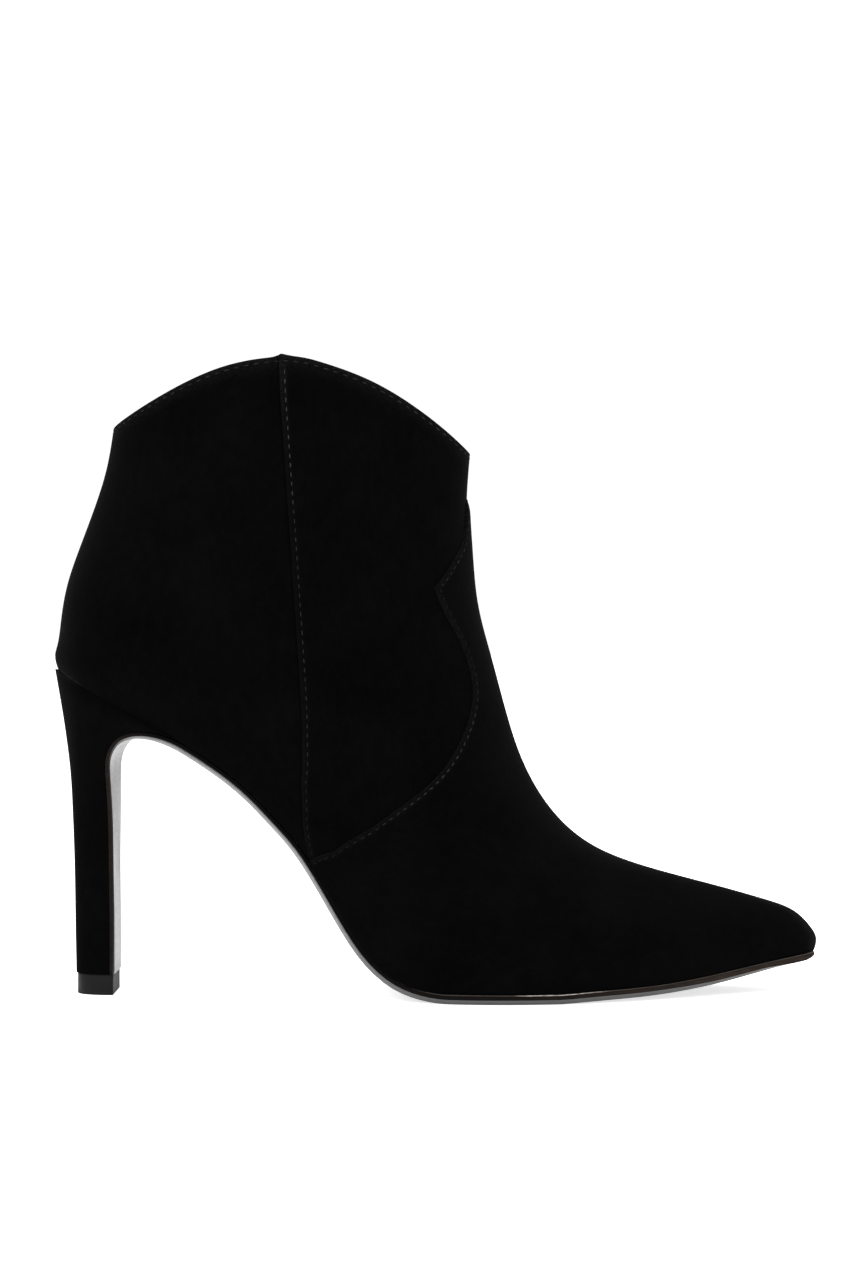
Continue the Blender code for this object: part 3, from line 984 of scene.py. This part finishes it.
class BOOT_OT_upper(bpy.types.Operator):
    """Suede of the upper, with its two lapped side seams"""

    bl_idname = "boot.upper"
    bl_label = "Upper"

    def execute(self, context):
        sizes, colours = context.scene.boot_sizes, context.scene.boot_colours
        level = upper_levels()
        turns = both_sides(round_columns(level))
        rows = level[:, None] + 0 * turns
        relief = upper_relief(turns, rows)
        points = form(turns, rows) + outward(turns, rows) * relief[..., None]
        ahead = ahead_of_seam(turns, rows)
        points[..., 2] += profile(SEAM_TOP, ahead) * ease(rows, 0.97, 1.0)

        # Pale marks: the folds of the seams, partly cut suede and partly a painted highlight that grows
        # towards the collar, the collar's rim, and a painted highlight along the outer side's foot near the
        # back
        down = (1 - rows) * height_rate(turns, rows)
        # Painted highlight on the folds: how much light they catch at each level
        lit = 0.11 - 0.04 * ease(rows, 0.35, 0.5)
        lit = lit + 0.11 * ease(rows, 0.84, 0.93) + 0.22 * ease(rows, 0.93, 1.0)
        fold = ease(ahead, 0.0, 0.15) * (1 - ease(ahead, 1.6, 2.6)) * lit
        rim = 0.26 * (1 - ease(down, 0.0, 5.5)) + 0.22 * (1 - ease(down, 0.2, 1.4))
        foot, behind = rows * height_rate(turns, rows), from_back(turns)
        # Painted highlight: the outer side's foot near the back, where it rolls in, is marked pale as if it
        # caught the light
        painted_foot_highlight = (1 - ease(foot, 0.3, 1.3)) * ease(behind, 10, 15) * (1 - ease(behind, 21, 28))
        edge = np.maximum(np.maximum(fold, rim), 0.7 * painted_foot_highlight * (turns < 180))

        nap = suede("upper_suede_nap", colours)
        made = make_piece("upper_suede", grid_of(points, edge), (nap,), ("upper",))
        thicken(made, sizes.suede)
        return {"FINISHED"}


class BOOT_OT_lining(bpy.types.Operator):
    """Lining inside the upper"""

    bl_idname = "boot.lining"
    bl_label = "Lining"

    def execute(self, context):
        sizes, colours = context.scene.boot_sizes, context.scene.boot_colours
        level = np.hstack((np.linspace(0.0, 0.98, 44), (0.99, 0.996, 0.998)))
        turns = both_sides(np.linspace(0, 180, 61) + 0 * level[:, None])
        rows = level[:, None] + 0 * turns
        inset = sizes.suede / MM + 0.02 + 0.12 * (1 - ease(1 - rows, 0.002, 0.012))
        points = form(turns, rows) - outward(turns, rows) * inset[..., None]
        leather = smooth_leather("lining_leather", colours.lining)
        made = make_piece("lining", grid_of(points), (leather,))
        thicken(made, sizes.lining)
        return {"FINISHED"}


# The vamp

def vamp_edge(level):
    """Turn of the vamp's edge at a level."""
    level = np.asarray(level, float)
    return np.where(level < VAMP_TONGUE[0][0], vamp_wing(level)[..., 0], vamp_tongue(level)[..., 0])


def tongue_crown(turn, edge):
    """Share of the rise of the tongue's tip, 0 at its edge and 1 at the centre front."""
    return 1 - ((180 - turn) / (180 - edge)) ** 2


def pared(level):
    """Share of its full height that the vamp's leather has at a level, less towards the tongue's tip."""
    left = (VAMP_TONGUE[-1][0] + TONGUE_RISE - np.asarray(level, float)) / TONGUE_PARING
    return TONGUE_LEAST + (1 - TONGUE_LEAST) * np.sin(np.clip(left, 0, 1) * math.pi / 2)


def vamp_outline():
    """Turns and levels of the vamp's edge on the outer side, from the sole up and over the tongue."""
    notch, top = VAMP_TONGUE[0][0], VAMP_TONGUE[-1][0]
    level = np.hstack((np.linspace(0, notch, 700), np.linspace(notch, top, 240)[1:]))
    turn = vamp_edge(level)
    across = np.linspace(turn[-1], 180, 40)[1:]
    over = top + TONGUE_RISE * tongue_crown(across, turn[-1])
    return np.hstack((turn, across)), np.hstack((level, over))


def vamp_columns(level, inner=34):
    """Turns of the vamp's columns from its edge to the centre front, a row for each level."""
    turns = np.empty((len(level), len(VAMP_COLUMNS) + inner - 1))
    for row, height in enumerate(level):
        fine = np.linspace(vamp_edge(height), 180, 240)
        length = lengths_along(form(fine, height))
        near = np.array(VAMP_COLUMNS) * min(1.4, 0.6 * length[-1] / VAMP_COLUMNS[-1])
        far = near[-1] + (length[-1] - near[-1]) * np.linspace(0, 1, inner)[1:]
        turns[row] = np.interp(np.hstack((near, far)), length, fine)
    return turns


class BOOT_OT_vamp(bpy.types.Operator):
    """Vamp over the toe and instep, with a wing on each side and a tongue up the front"""

    bl_idname = "boot.vamp"
    bl_label = "Vamp"

    def execute(self, context):
        sizes, colours = context.scene.boot_sizes, context.scene.boot_colours
        notch, top = VAMP_TONGUE[0][0], VAMP_TONGUE[-1][0]
        foot = np.array((0.0, 0.002, 0.006, 0.012, 0.02))
        tip = top - np.array((0.03, 0.022, 0.016, 0.011, 0.007, 0.004, 0.002, 0.0008, 0.0))
        level = np.hstack((foot, np.linspace(0.03, notch, 92), np.linspace(notch, tip[0], 22)[1:-1], tip))
        turns = vamp_columns(level)
        crown = tongue_crown(turns, turns[:, :1]) * ease(level, tip[0], top)[:, None]
        rows = level[:, None] + TONGUE_RISE * crown
        plain = form(turns, rows)
        inside = nearest(plain, form(*vamp_outline()))
        rise = profile(VAMP_PROFILE, inside) * pared(rows) - tuck(rows, *VAMP_TUCK)
        # Pale band along the vamp's edge: partly cut suede, partly a painted highlight along the edge
        edge = 0.12 * (1 - ease(inside, 0.12, 0.5)) + 0.15 * (1 - ease(inside, 1.2, 2.4))
        # Painted light: the toe is marked paler where its top faces the light from above
        edge = edge * ease(rows, 0.01, 0.03) + 0.035 * ease(share_of(turns), 0.82, 0.95)
        turns = both_sides(turns)
        rows, rise, edge = there_and_back(rows), there_and_back(rise), there_and_back(edge)
        relief = soft_form(turns, rows) + profile(SEAM_PROFILE, ahead_of_seam(turns, rows)) + rise
        points = form(turns, rows) + outward(turns, rows) * relief[..., None]
        nap = suede("vamp_suede_nap", colours, (0.65, 1.0, 0.9))
        made = make_piece("vamp_suede", grid_of(points, edge), (nap,), ("vamp",))
        thicken(made, sizes.vamp)
        return {"FINISHED"}


# Stitching

def evenly(points, pitch):
    """A function that reads columns of values, given at a line's points, at an even pitch along the line or
    a distance past that."""
    length = lengths_along(points)
    count = max(int(length[-1] / pitch), 1)
    at = (np.arange(count) + 0.5) * length[-1] / count

    def read(values, past=0.0):
        return np.stack([np.interp(at + past, length, column) for column in values.T], -1)

    return read


def sew(mesh, points, normals, nap_clearance_and_glint, pitch, thickness, share=0.54):
    """Adds a row of stitches along a line of points, each a short loop of thread sunk at its ends and
    marked with how far out of the nap it stands, which also sets how bright its painted highlight is."""
    mark = mesh.verts.layers.float.get("edge") or mesh.verts.layers.float.new("edge")
    read = evenly(points, pitch)
    along = unit(read(points, 0.3) - read(points, -0.3))
    up = unit(read(normals))
    for place, ahead, out, stand in zip(read(points), along, up, read(nap_clearance_and_glint[:, None])[:, 0]):
        out = unit(out - ahead * (out @ ahead))
        aside = np.cross(out, ahead)
        axes = (aside * thickness / 2, out * thickness * 0.62, ahead * pitch * share / 2)
        shape = Matrix([(*axis, 0) for axis in axes] + [(*place, 1)]).transposed()
        made = bmesh.ops.create_uvsphere(mesh, u_segments=6, v_segments=5, radius=1.0, matrix=shape)
        for vert in made["verts"]:
            vert[mark] = stand


def beside(turn, level, margin, inner):
    """Points of the form a margin ahead of a line that runs up it, and the normals there."""
    line, out = form(turn, level), outward(turn, level)
    along = unit(np.gradient(line, axis=0))
    ahead = np.cross(out, along) if inner else np.cross(along, out)
    return line + ahead * margin, out


class BOOT_OT_stitching(bpy.types.Operator):
    """Rows of stitches along the collar, the two side seams and the vamp's edge"""

    bl_idname = "boot.stitching"
    bl_label = "Stitching"

    def execute(self, context):
        sizes, colours = context.scene.boot_sizes, context.scene.boot_colours
        thread = waxed_thread("thread", colours.thread, colours.suede_raised)
        thickness = sizes.thread / MM

        mesh = bmesh.new()
        turn = np.linspace(0, 360, 721)
        level = 1 - sizes.collar_margin / MM / height_rate(turn, 1 + 0 * turn)
        out = outward(turn, level)
        points = form(turn, level) + out * upper_relief(turn, level)[:, None]
        sew(mesh, points, out, COLLAR_CLEAR + 0 * turn, sizes.collar_pitch / MM, thickness)
        make_piece("collar_stitches", mesh, (thread,))

        mesh = bmesh.new()
        margin = sizes.seam_margin / MM
        for inner in (False, True):
            turn, level = seam_line(inner, 500)
            points, out = beside(turn, level, margin, inner)
            lifted = profile(SEAM_PROFILE, margin) + soft_form(turn, level)
            keep = (level > 0.012) & (level < 0.984)
            points, nap_clearance_and_glint = points + out * lifted[:, None], profile(SEAM_CLEAR_AND_GLINT, level)
            sew(mesh, points[keep], out[keep], nap_clearance_and_glint[keep], sizes.seam_pitch / MM, thickness)
        make_piece("side_seam_stitches", mesh, (thread,))

        mesh = bmesh.new()
        margin = sizes.vamp_margin / MM
        for inner in (False, True):
            turn, level = vamp_outline()
            turn = 360 - turn if inner else turn
            points, out = beside(turn, level, margin, inner)
            lifted = profile(VAMP_PROFILE, margin) * pared(level) + soft_form(turn, level)
            lifted = lifted + profile(SEAM_PROFILE, ahead_of_seam(turn, level))
            keep = (nearest(points, form(turn, level)) > margin * 0.985) & (level > 0.02)
            points, nap_clearance_and_glint = points + out * lifted[:, None], profile(VAMP_CLEAR_AND_GLINT, level)
            sew(mesh, points[keep], out[keep], nap_clearance_and_glint[keep], sizes.vamp_pitch / MM, thickness)
        make_piece("vamp_stitches", mesh, (thread,))
        return {"FINISHED"}


# The path of the sole

def sole_row(share):
    """The sole under the upper: outer face x and z, inward x and z, centre line, half-width, thickness."""
    share = np.asarray(share, float)
    forefoot = ease(share, 0.44, 0.60)
    thickness = SOLE_WAIST + (SOLE_FOREFOOT - SOLE_WAIST) * forefoot
    thickness = thickness + (SOLE_TOE - SOLE_FOREFOOT) * ease(share, 0.88, 1.0)
    inward = side_normal(feather, share)
    x, z = np.moveaxis(feather(share) - inward * (GAP + thickness)[..., None], -1, 0)
    x = x + TOE_MARGIN * ease(share, 0.95, 1.0)
    margin = SOLE_MARGIN * (2 * forefoot - 1) * (0.7 + 0.3 * forefoot)
    width = half_width(turn_of(share), 0 * share) + margin
    inward_x, inward_z = np.moveaxis(inward, -1, 0)
    return np.stack((x, np.maximum(z, 0.0), inward_x, inward_z, swing(share)[..., 0], width, thickness), -1)


FLAP_START = [sole_row(share) for share in FLAP_SHARES]
FLAP_ROUTE = [(row[0], row[1], row[5]) for row in FLAP_START] + list(FLAP)
FLAP_LENGTHS = np.cumsum([0] + [math.dist(a[:2], b[:2]) for a, b in zip(FLAP_ROUTE, FLAP_ROUTE[1:])])
FLAP_FIRST, FLAP_LAST = FLAP_LENGTHS[1], FLAP_LENGTHS[-1]
flap_route = columns_of([(length, *row) for length, row in zip(FLAP_LENGTHS, FLAP_ROUTE)])


def flap_row(length):
    """The sole past the waist, down the heel breast, in the same columns as sole_row."""
    length = np.asarray(length, float)
    x, z, width = np.moveaxis(flap_route(length), -1, 0)
    along = unit((flap_route(length + 0.1) - flap_route(length - 0.1))[..., :2])
    done = ease(length, FLAP_FIRST, FLAP_FIRST + FLAP_EASE)
    thickness = SOLE_WAIST + (SOLE_FLAP - SOLE_WAIST) * done
    shift = FLAP_START[1][4] * (1 - done)
    return np.stack((x, z, along[..., 1], -along[..., 0], shift, width, thickness), -1)


def sole_rows():
    """Rows of the whole sole, from the toe to the foot of the flap, and how much of each is waist, flap and
    worn edge."""
    share = share_of(np.linspace(178.0, turn_of(FLAP_SHARES[1]), 120))
    length = np.linspace(FLAP_FIRST, FLAP_LAST, 84)[1:] - FLAP_FIRST
    rows = np.vstack((sole_row(share), flap_row(length + FLAP_FIRST)))
    waist = np.hstack((1 - ease(share, 0.44, 0.56), 1 + 0 * length))
    flap = np.hstack((0 * share, ease(length, 4, 22)))
    toe = 0.16 * ease(share, 0.47, 0.54) + 0.84 * ease(share, 0.62, 0.90)
    worn = np.hstack((toe, 0.45 * ease(length, 6, 24)))
    return rows, waist[:, None], flap[:, None], worn[:, None]


def strip(rows, across, depth):
    """Points of a strip along the rows, from distances across, 0 at the centre line, and depths into it."""
    x, z, inward_x, inward_z, shift = rows.T[:5, :, None]
    return np.stack((x + inward_x * depth, shift + across, z + inward_z * depth), -1)


def both_edges(across, depth):
    """A section from the middle of the outer face round one edge to the middle of the inner face, and
    back round the other edge."""
    return np.hstack((across, -across[:, -2::-1])), there_and_back(depth)


def sole_section(rows, waist, flap):
    """Half of the sole's section in each row, from the middle of its underside over the bevel, up the wall
    and over the crest to the middle of its top: distances across, depths, and how many columns lie below
    the wall."""
    x, width, thickness = rows[:, :1], rows[:, 5:6], rows[:, 6:7]
    reach = (BEVEL + BEVEL_WAIST * waist) * (1 - flap) + BEVEL_FLAP * flap
    reach = np.minimum(reach, width * 0.45)
    toe = 0.12 * ease(x, 50, 70) + 0.32 * ease(x, 82, 93)
    rise = thickness * (0.58 + 0.04 * waist - 0.32 * flap - toe)
    flat = (width - reach) * np.array((0, 0.25, 0.5, 0.7, 0.85, 0.95))
    slope = np.array((0, 0.07, 0.2, 0.4, 0.6, 0.78, 0.9, 0.965, 0.992))
    rounded = slope + 0.6 * waist * (1 - flap) * (1 - np.sqrt(1 - slope) - slope)
    wall = np.array((0.04, 0.12, 0.5, 0.88))
    arc = np.radians(np.linspace(0, 90, 4))
    top = width * np.array((0.9, 0.6, 0.3, 0.0))
    across = np.hstack((
        flat, width - reach * (1 - slope), width + 0 * wall, width - CREST * (1 - np.cos(arc)), top))
    depth = np.hstack((
        0 * flat, rise * rounded, rise + (thickness - CREST - rise) * wall,
        thickness - CREST * (1 - np.sin(arc)), thickness + 0 * top))
    nose = 1 - np.clip((x[0] - x) / TOE_NOSE, 0, 1)
    depth = np.maximum(depth, 0.85 * thickness * (1 - np.sqrt(1 - nose ** 2)))
    return across, depth, flat.shape[1] + len(slope)


class BOOT_OT_sole(bpy.types.Operator):
    """Leather sole from the toe to the foot of the heel breast"""

    bl_idname = "boot.sole"
    bl_label = "Sole"

    def execute(self, context):
        colours = context.scene.boot_colours
        rows, waist, flap, worn = sole_rows()
        across, depth, below = sole_section(rows, waist, flap)
        above = across.shape[1] - below
        mark = worn * np.repeat((0, 0.6, 1.0), (below, 1, above - 1))
        zones = np.repeat((0, 1), (below - 1, above))
        points = strip(rows, *both_edges(across, depth))
        mesh = grid_of(points, there_and_back(mark), [*zones, *zones[::-1]])
        close_ends(mesh)
        lacquer = lacquered_leather("sole_lacquer", colours.sole)
        ink = inked_edge("sole_ink", colours.ink, colours.worn)
        make_piece("sole_leather", mesh, (lacquer, ink), ("outsole",))
        return {"FINISHED"}


class BOOT_OT_sole_layer(bpy.types.Operator):
    """Thin layer of bare brown leather on top of the sole's front part"""

    bl_idname = "boot.sole_layer"
    bl_label = "Sole layer"

    def execute(self, context):
        colours = context.scene.boot_colours
        rows = sole_rows()[0]
        rows = rows[rows[:, 0] > LAYER_END]
        x, width, thickness = rows[:, :1], rows[:, 5:6], rows[:, 6:7]
        ended = 1 - ease(x, LAYER_END, LAYER_END + LAYER_TAPER_LENGTH)
        edge = width - LAYER_INSET - LAYER_TAPER * ended
        across = there_and_back(np.hstack((0 * edge, edge * 0.5, edge - 0.3, edge - 0.05, edge)))
        rise = np.array((0.02, 0.02, 0.02, 0.05, 0.14, 0.23, 0.26, 0.26, 0.26))
        # Pale top edge under the ball: partly worn by rubbing, partly a painted highlight where the edge
        # catches the light
        rubbed_and_highlight = ease(x, 7, 12) * (1 - ease(x, 27, 37)) + 0 * across
        mesh = grid_of(strip(rows, *both_edges(across, thickness + rise)), there_and_back(rubbed_and_highlight))
        close_ends(mesh)
        leather = bare_leather("brown_leather", colours.layer, colours.rubbed_and_highlight)
        make_piece("sole_layer", mesh, (leather,))
        return {"FINISHED"}


# The heel

def flap_length(level):
    """Length along the flap of a level of the heel, from the top piece to the seat."""
    return FLAP_LAST + (FLAP_FIRST + WEDGE - FLAP_LAST) * np.asarray(level, float)


def breast(level):
    """Front line of the heel, against the sole flap, from the top piece to the seat."""
    row = flap_row(flap_length(level))
    return row[..., :2] + row[..., 2:4] * (row[..., 6:7] + BREAST_JOINT)


def seat(share):
    """Top line of the heel, under the upper, from back to front."""
    share = np.asarray(share, float) * SEAT_SHARE
    return feather(share) - side_normal(feather, share) * SEAT_JOINT


def heel_foot(share):
    """Bottom line of the heel, over the top piece, from back to front."""
    share = np.asarray(share, float)[..., None]
    return heel_back(0) * (1 - share) + breast(0) * share


def heel_loop(columns, across):
    """Places round the heel: side, share from the centre back to the breast."""
    turn = np.radians(np.linspace(0, 90, columns + 1))
    side, share = np.sin(turn) ** HEEL_ROUND, 1 - np.cos(turn)
    front = np.linspace(-1, 1, across + 1)[1:-1]
    return np.hstack((-side, front, side[::-1])), np.hstack((share, 1 + 0 * front, share[::-1]))


def heel_rim(side, share):
    """Top edge of the heel's cover, flush with the upper's foot, with a small lip at the back."""
    turn = turn_of(share * SEAT_SHARE)
    foot = form(turn, 0 * turn)
    joint = -side_normal(feather, share * SEAT_SHARE) * SEAT_JOINT
    lip = HEEL_LIP * (1 - ease(share, 0.0, 0.12))
    half = np.abs(foot[:, 1]) + 0.05
    front = share > 0.999
    across = np.where(front, side * half, np.sign(side) * half)
    return np.stack((foot[:, 0] + joint[:, 0] - lip, across, foot[:, 2] + joint[:, 1]), -1)


class BOOT_OT_heel(bpy.types.Operator):
    """Slim heel covered in suede, rounded behind and flat at the breast"""

    bl_idname = "boot.heel"
    bl_label = "Heel"

    def execute(self, context):
        colours = context.scene.boot_colours
        side, share = heel_loop(26, 6)
        level = np.linspace(0, 1, 76)
        flat = patch(heel_foot, seat, heel_back, breast, share[None], level[:, None])
        width = flap_row(flap_length(level))[:, 5]
        points = np.stack((flat[..., 0], side * width[:, None], flat[..., 1]), -1)
        points += (heel_rim(side, share) - points[-1]) * ease(level, HEEL_RIM_START, 1.0)[:, None, None]

        # Both ends close over a line along their middle
        middle = 0.06 + 0.86 * np.arccos(1 - share) / (math.pi / 2)
        under, over = (np.insert(line, 1, 0, axis=1)[None] for line in (heel_foot(middle), seat(middle)))
        mesh = grid_of(np.concatenate((under, points, over)))
        bmesh.ops.recalc_face_normals(mesh, faces=mesh.faces)
        round_edges(mesh, HEEL_EDGE, 48)

        # Painted highlight: the lip at the back is marked pale as if it caught the light
        line = seat(np.linspace(0, 1, 40))
        lip = mesh.verts.layers.float["edge"]
        for vert in mesh.verts:
            below = np.interp(vert.co.x, *line.T) - vert.co.z
            vert[lip] = 0.35 * (1 - ease(below, 0.4, 1.1)) * (1 - ease(vert.co.x, -126.5, -119.0))
        make_piece("heel_cover", mesh, (suede("heel_suede_nap", colours),), ("heel",))
        return {"FINISHED"}


class BOOT_OT_top_piece(bpy.types.Operator):
    """Hard tip under the heel and the foot of the sole flap"""

    bl_idname = "boot.top_piece"
    bl_label = "Top piece"

    def execute(self, context):
        colours = context.scene.boot_colours
        side, share = heel_loop(20, 6)
        back = HEEL_BACK[0][1] + TOP_PIECE_INSET
        front = FLAP[-1][0] - TOP_PIECE_INSET
        width = FLAP[-1][2] - TOP_PIECE_INSET
        mesh = bmesh.new()
        places = zip(back + (front - back) * share[:-1], side[:-1] * width)
        bottom = mesh.faces.new([mesh.verts.new((x, y, 0.0)) for x, y in places])
        grown = bmesh.ops.extrude_face_region(mesh, geom=[bottom])
        raised = [each for each in grown["geom"] if isinstance(each, bmesh.types.BMVert)]
        bmesh.ops.translate(mesh, vec=(0, 0, TOP_PIECE_HEIGHT), verts=raised)
        bmesh.ops.recalc_face_normals(mesh, faces=mesh.faces)
        round_edges(mesh, TOP_PIECE_EDGE, 40)
        rubber = hard_rubber("top_piece_rubber", colours.top_piece)
        made = make_piece("heel_tip", mesh, (rubber,), ("top_piece",))
        made.data.set_sharp_from_angle(angle=math.radians(50))
        return {"FINISHED"}


# The sock

class BOOT_OT_sock(bpy.types.Operator):
    """Padded sock that the foot stands on"""

    bl_idname = "boot.sock"
    bl_label = "Sock"

    def execute(self, context):
        colours = context.scene.boot_colours
        turn = np.linspace(turn_of(0.018), turn_of(0.965), 90)
        share = share_of(turn)
        inward = side_normal(feather, share)
        rows = np.hstack((feather(share), inward, swing(share)))
        half = half_width(turn, 0 * turn)[:, None] - WALL - SOCK_CLEARANCE
        arc = np.radians(np.linspace(0, 90, 6))
        under = half * np.array((0, 0.5, 0.9))
        rim = half - SOCK_EDGE * (1 - np.cos(arc))
        over = (half - SOCK_EDGE) * np.array((0.9, 0.7, 0.5, 0.25, 0.0))
        across = np.hstack((under, rim, over))
        rim_depth = SOCK_THICKNESS - SOCK_EDGE * (1 - np.sin(arc)) + 0 * rim
        depth = np.hstack((0 * under, rim_depth, SOCK_THICKNESS + 0 * over))
        mesh = grid_of(strip(rows, *both_edges(across, depth)))
        close_ends(mesh)
        leather = smooth_leather("sock_leather_grain", colours.sock, 0.55)
        make_piece("sock", mesh, (leather,), ("insole",))
        return {"FINISHED"}


# The stage

def soft_light(name, place, aim, size, power):
    """A large soft lamp at a place, turned to a point."""
    data = bpy.data.lights.new(name, "AREA")
    data.shape = "DISK"
    data.size = size
    data.energy = power
    made = bpy.data.objects.new(name, data)
    made.location = place
    made.rotation_euler = (Vector(aim) - Vector(place)).to_track_quat("-Z", "Y").to_euler()
    bpy.context.scene.collection.objects.link(made)
    return made


class BOOT_OT_stage(bpy.types.Operator):
    """Pale floor, soft studio light and the camera"""

    bl_idname = "boot.stage"
    bl_label = "Stage"

    def execute(self, context):
        scene, stage = context.scene, context.scene.boot_stage
        mesh = bmesh.new()
        bmesh.ops.create_grid(mesh, x_segments=8, y_segments=8, size=20.0)
        data = bpy.data.meshes.new("floor")
        mesh.to_mesh(data)
        mesh.free()
        finish = Finish("floor_paint")
        clouds = finish.noise(0.004, 2.0)
        dark = [each * 0.985 for each in stage.floor]
        finish.connect("Base Color", finish.blend(clouds, dark, stage.floor))
        finish.set(Roughness=0.85, Specular_IOR_Level=0.2)
        finish.set(Emission_Strength=stage.glow, Emission_Color=(1, 1, 1, 1))
        data.materials.append(finish.material)
        floor = bpy.data.objects.new("floor", data)
        scene.collection.objects.link(floor)

        world = bpy.data.worlds.new("studio")
        world.use_nodes = True
        sky = world.node_tree.nodes["Background"]
        sky.inputs["Color"].default_value = (1, 1, 1, 1)
        sky.inputs["Strength"].default_value = stage.sky
        scene.world = world
        scene.view_settings.view_transform = "Standard"
        scene.view_settings.look = "None"
        soft_light("key_light", (-0.55, -0.95, 0.85), (-0.02, 0, 0.09), 0.8, stage.key)
        soft_light("top_light", (0.35, 0.25, 1.1), (-0.02, 0, 0.05), 0.9, stage.fill)

        data = bpy.data.cameras.new("camera")
        data.sensor_fit = "VERTICAL"
        data.angle = 2 * math.atan(PICTURE_HEIGHT / 2 / FOCAL_LENGTH)
        data.clip_start = 0.01
        camera = bpy.data.objects.new("camera", data)
        camera.location = [each * MM for each in CAMERA_PLACE]
        camera.rotation_euler = (math.pi / 2, 0, 0)
        scene.collection.objects.link(camera)
        scene.camera = camera
        return {"FINISHED"}


# The add-on

OPERATORS = (
    BOOT_OT_upper, BOOT_OT_lining, BOOT_OT_vamp, BOOT_OT_stitching, BOOT_OT_sole, BOOT_OT_sole_layer,
    BOOT_OT_heel, BOOT_OT_top_piece, BOOT_OT_sock, BOOT_OT_stage,
)


class BOOT_PT_pieces(bpy.types.Panel):
    """Pieces of the boot, with their sizes and colours"""

    bl_idname = "BOOT_PT_pieces"
    bl_label = "Heeled ankle boot"
    bl_space_type = "VIEW_3D"
    bl_region_type = "UI"
    bl_category = "Boot"

    def draw(self, context):
        for operator in OPERATORS:
            self.layout.operator(operator.bl_idname)
        for group in (context.scene.boot_sizes, context.scene.boot_colours, context.scene.boot_stage):
            box = self.layout.box()
            for name in group.__annotations__:
                box.prop(group, name)


CLASSES = (BootSizes, BootColours, BootStage, *OPERATORS, BOOT_PT_pieces)


def register():
    for each in CLASSES:
        bpy.utils.register_class(each)
    bpy.types.Scene.boot_sizes = bpy.props.PointerProperty(type=BootSizes)
    bpy.types.Scene.boot_colours = bpy.props.PointerProperty(type=BootColours)
    bpy.types.Scene.boot_stage = bpy.props.PointerProperty(type=BootStage)


def unregister():
    del bpy.types.Scene.boot_stage
    del bpy.types.Scene.boot_colours
    del bpy.types.Scene.boot_sizes
    for each in reversed(CLASSES):
        bpy.utils.unregister_class(each)


def main():
    register()
    bpy.ops.boot.upper()
    bpy.ops.boot.lining()
    bpy.ops.boot.vamp()
    bpy.ops.boot.stitching()
    bpy.ops.boot.sole()
    bpy.ops.boot.sole_layer()
    bpy.ops.boot.heel()
    bpy.ops.boot.top_piece()
    bpy.ops.boot.sock()
    bpy.ops.boot.stage()


if __name__ == "__main__":
    main()
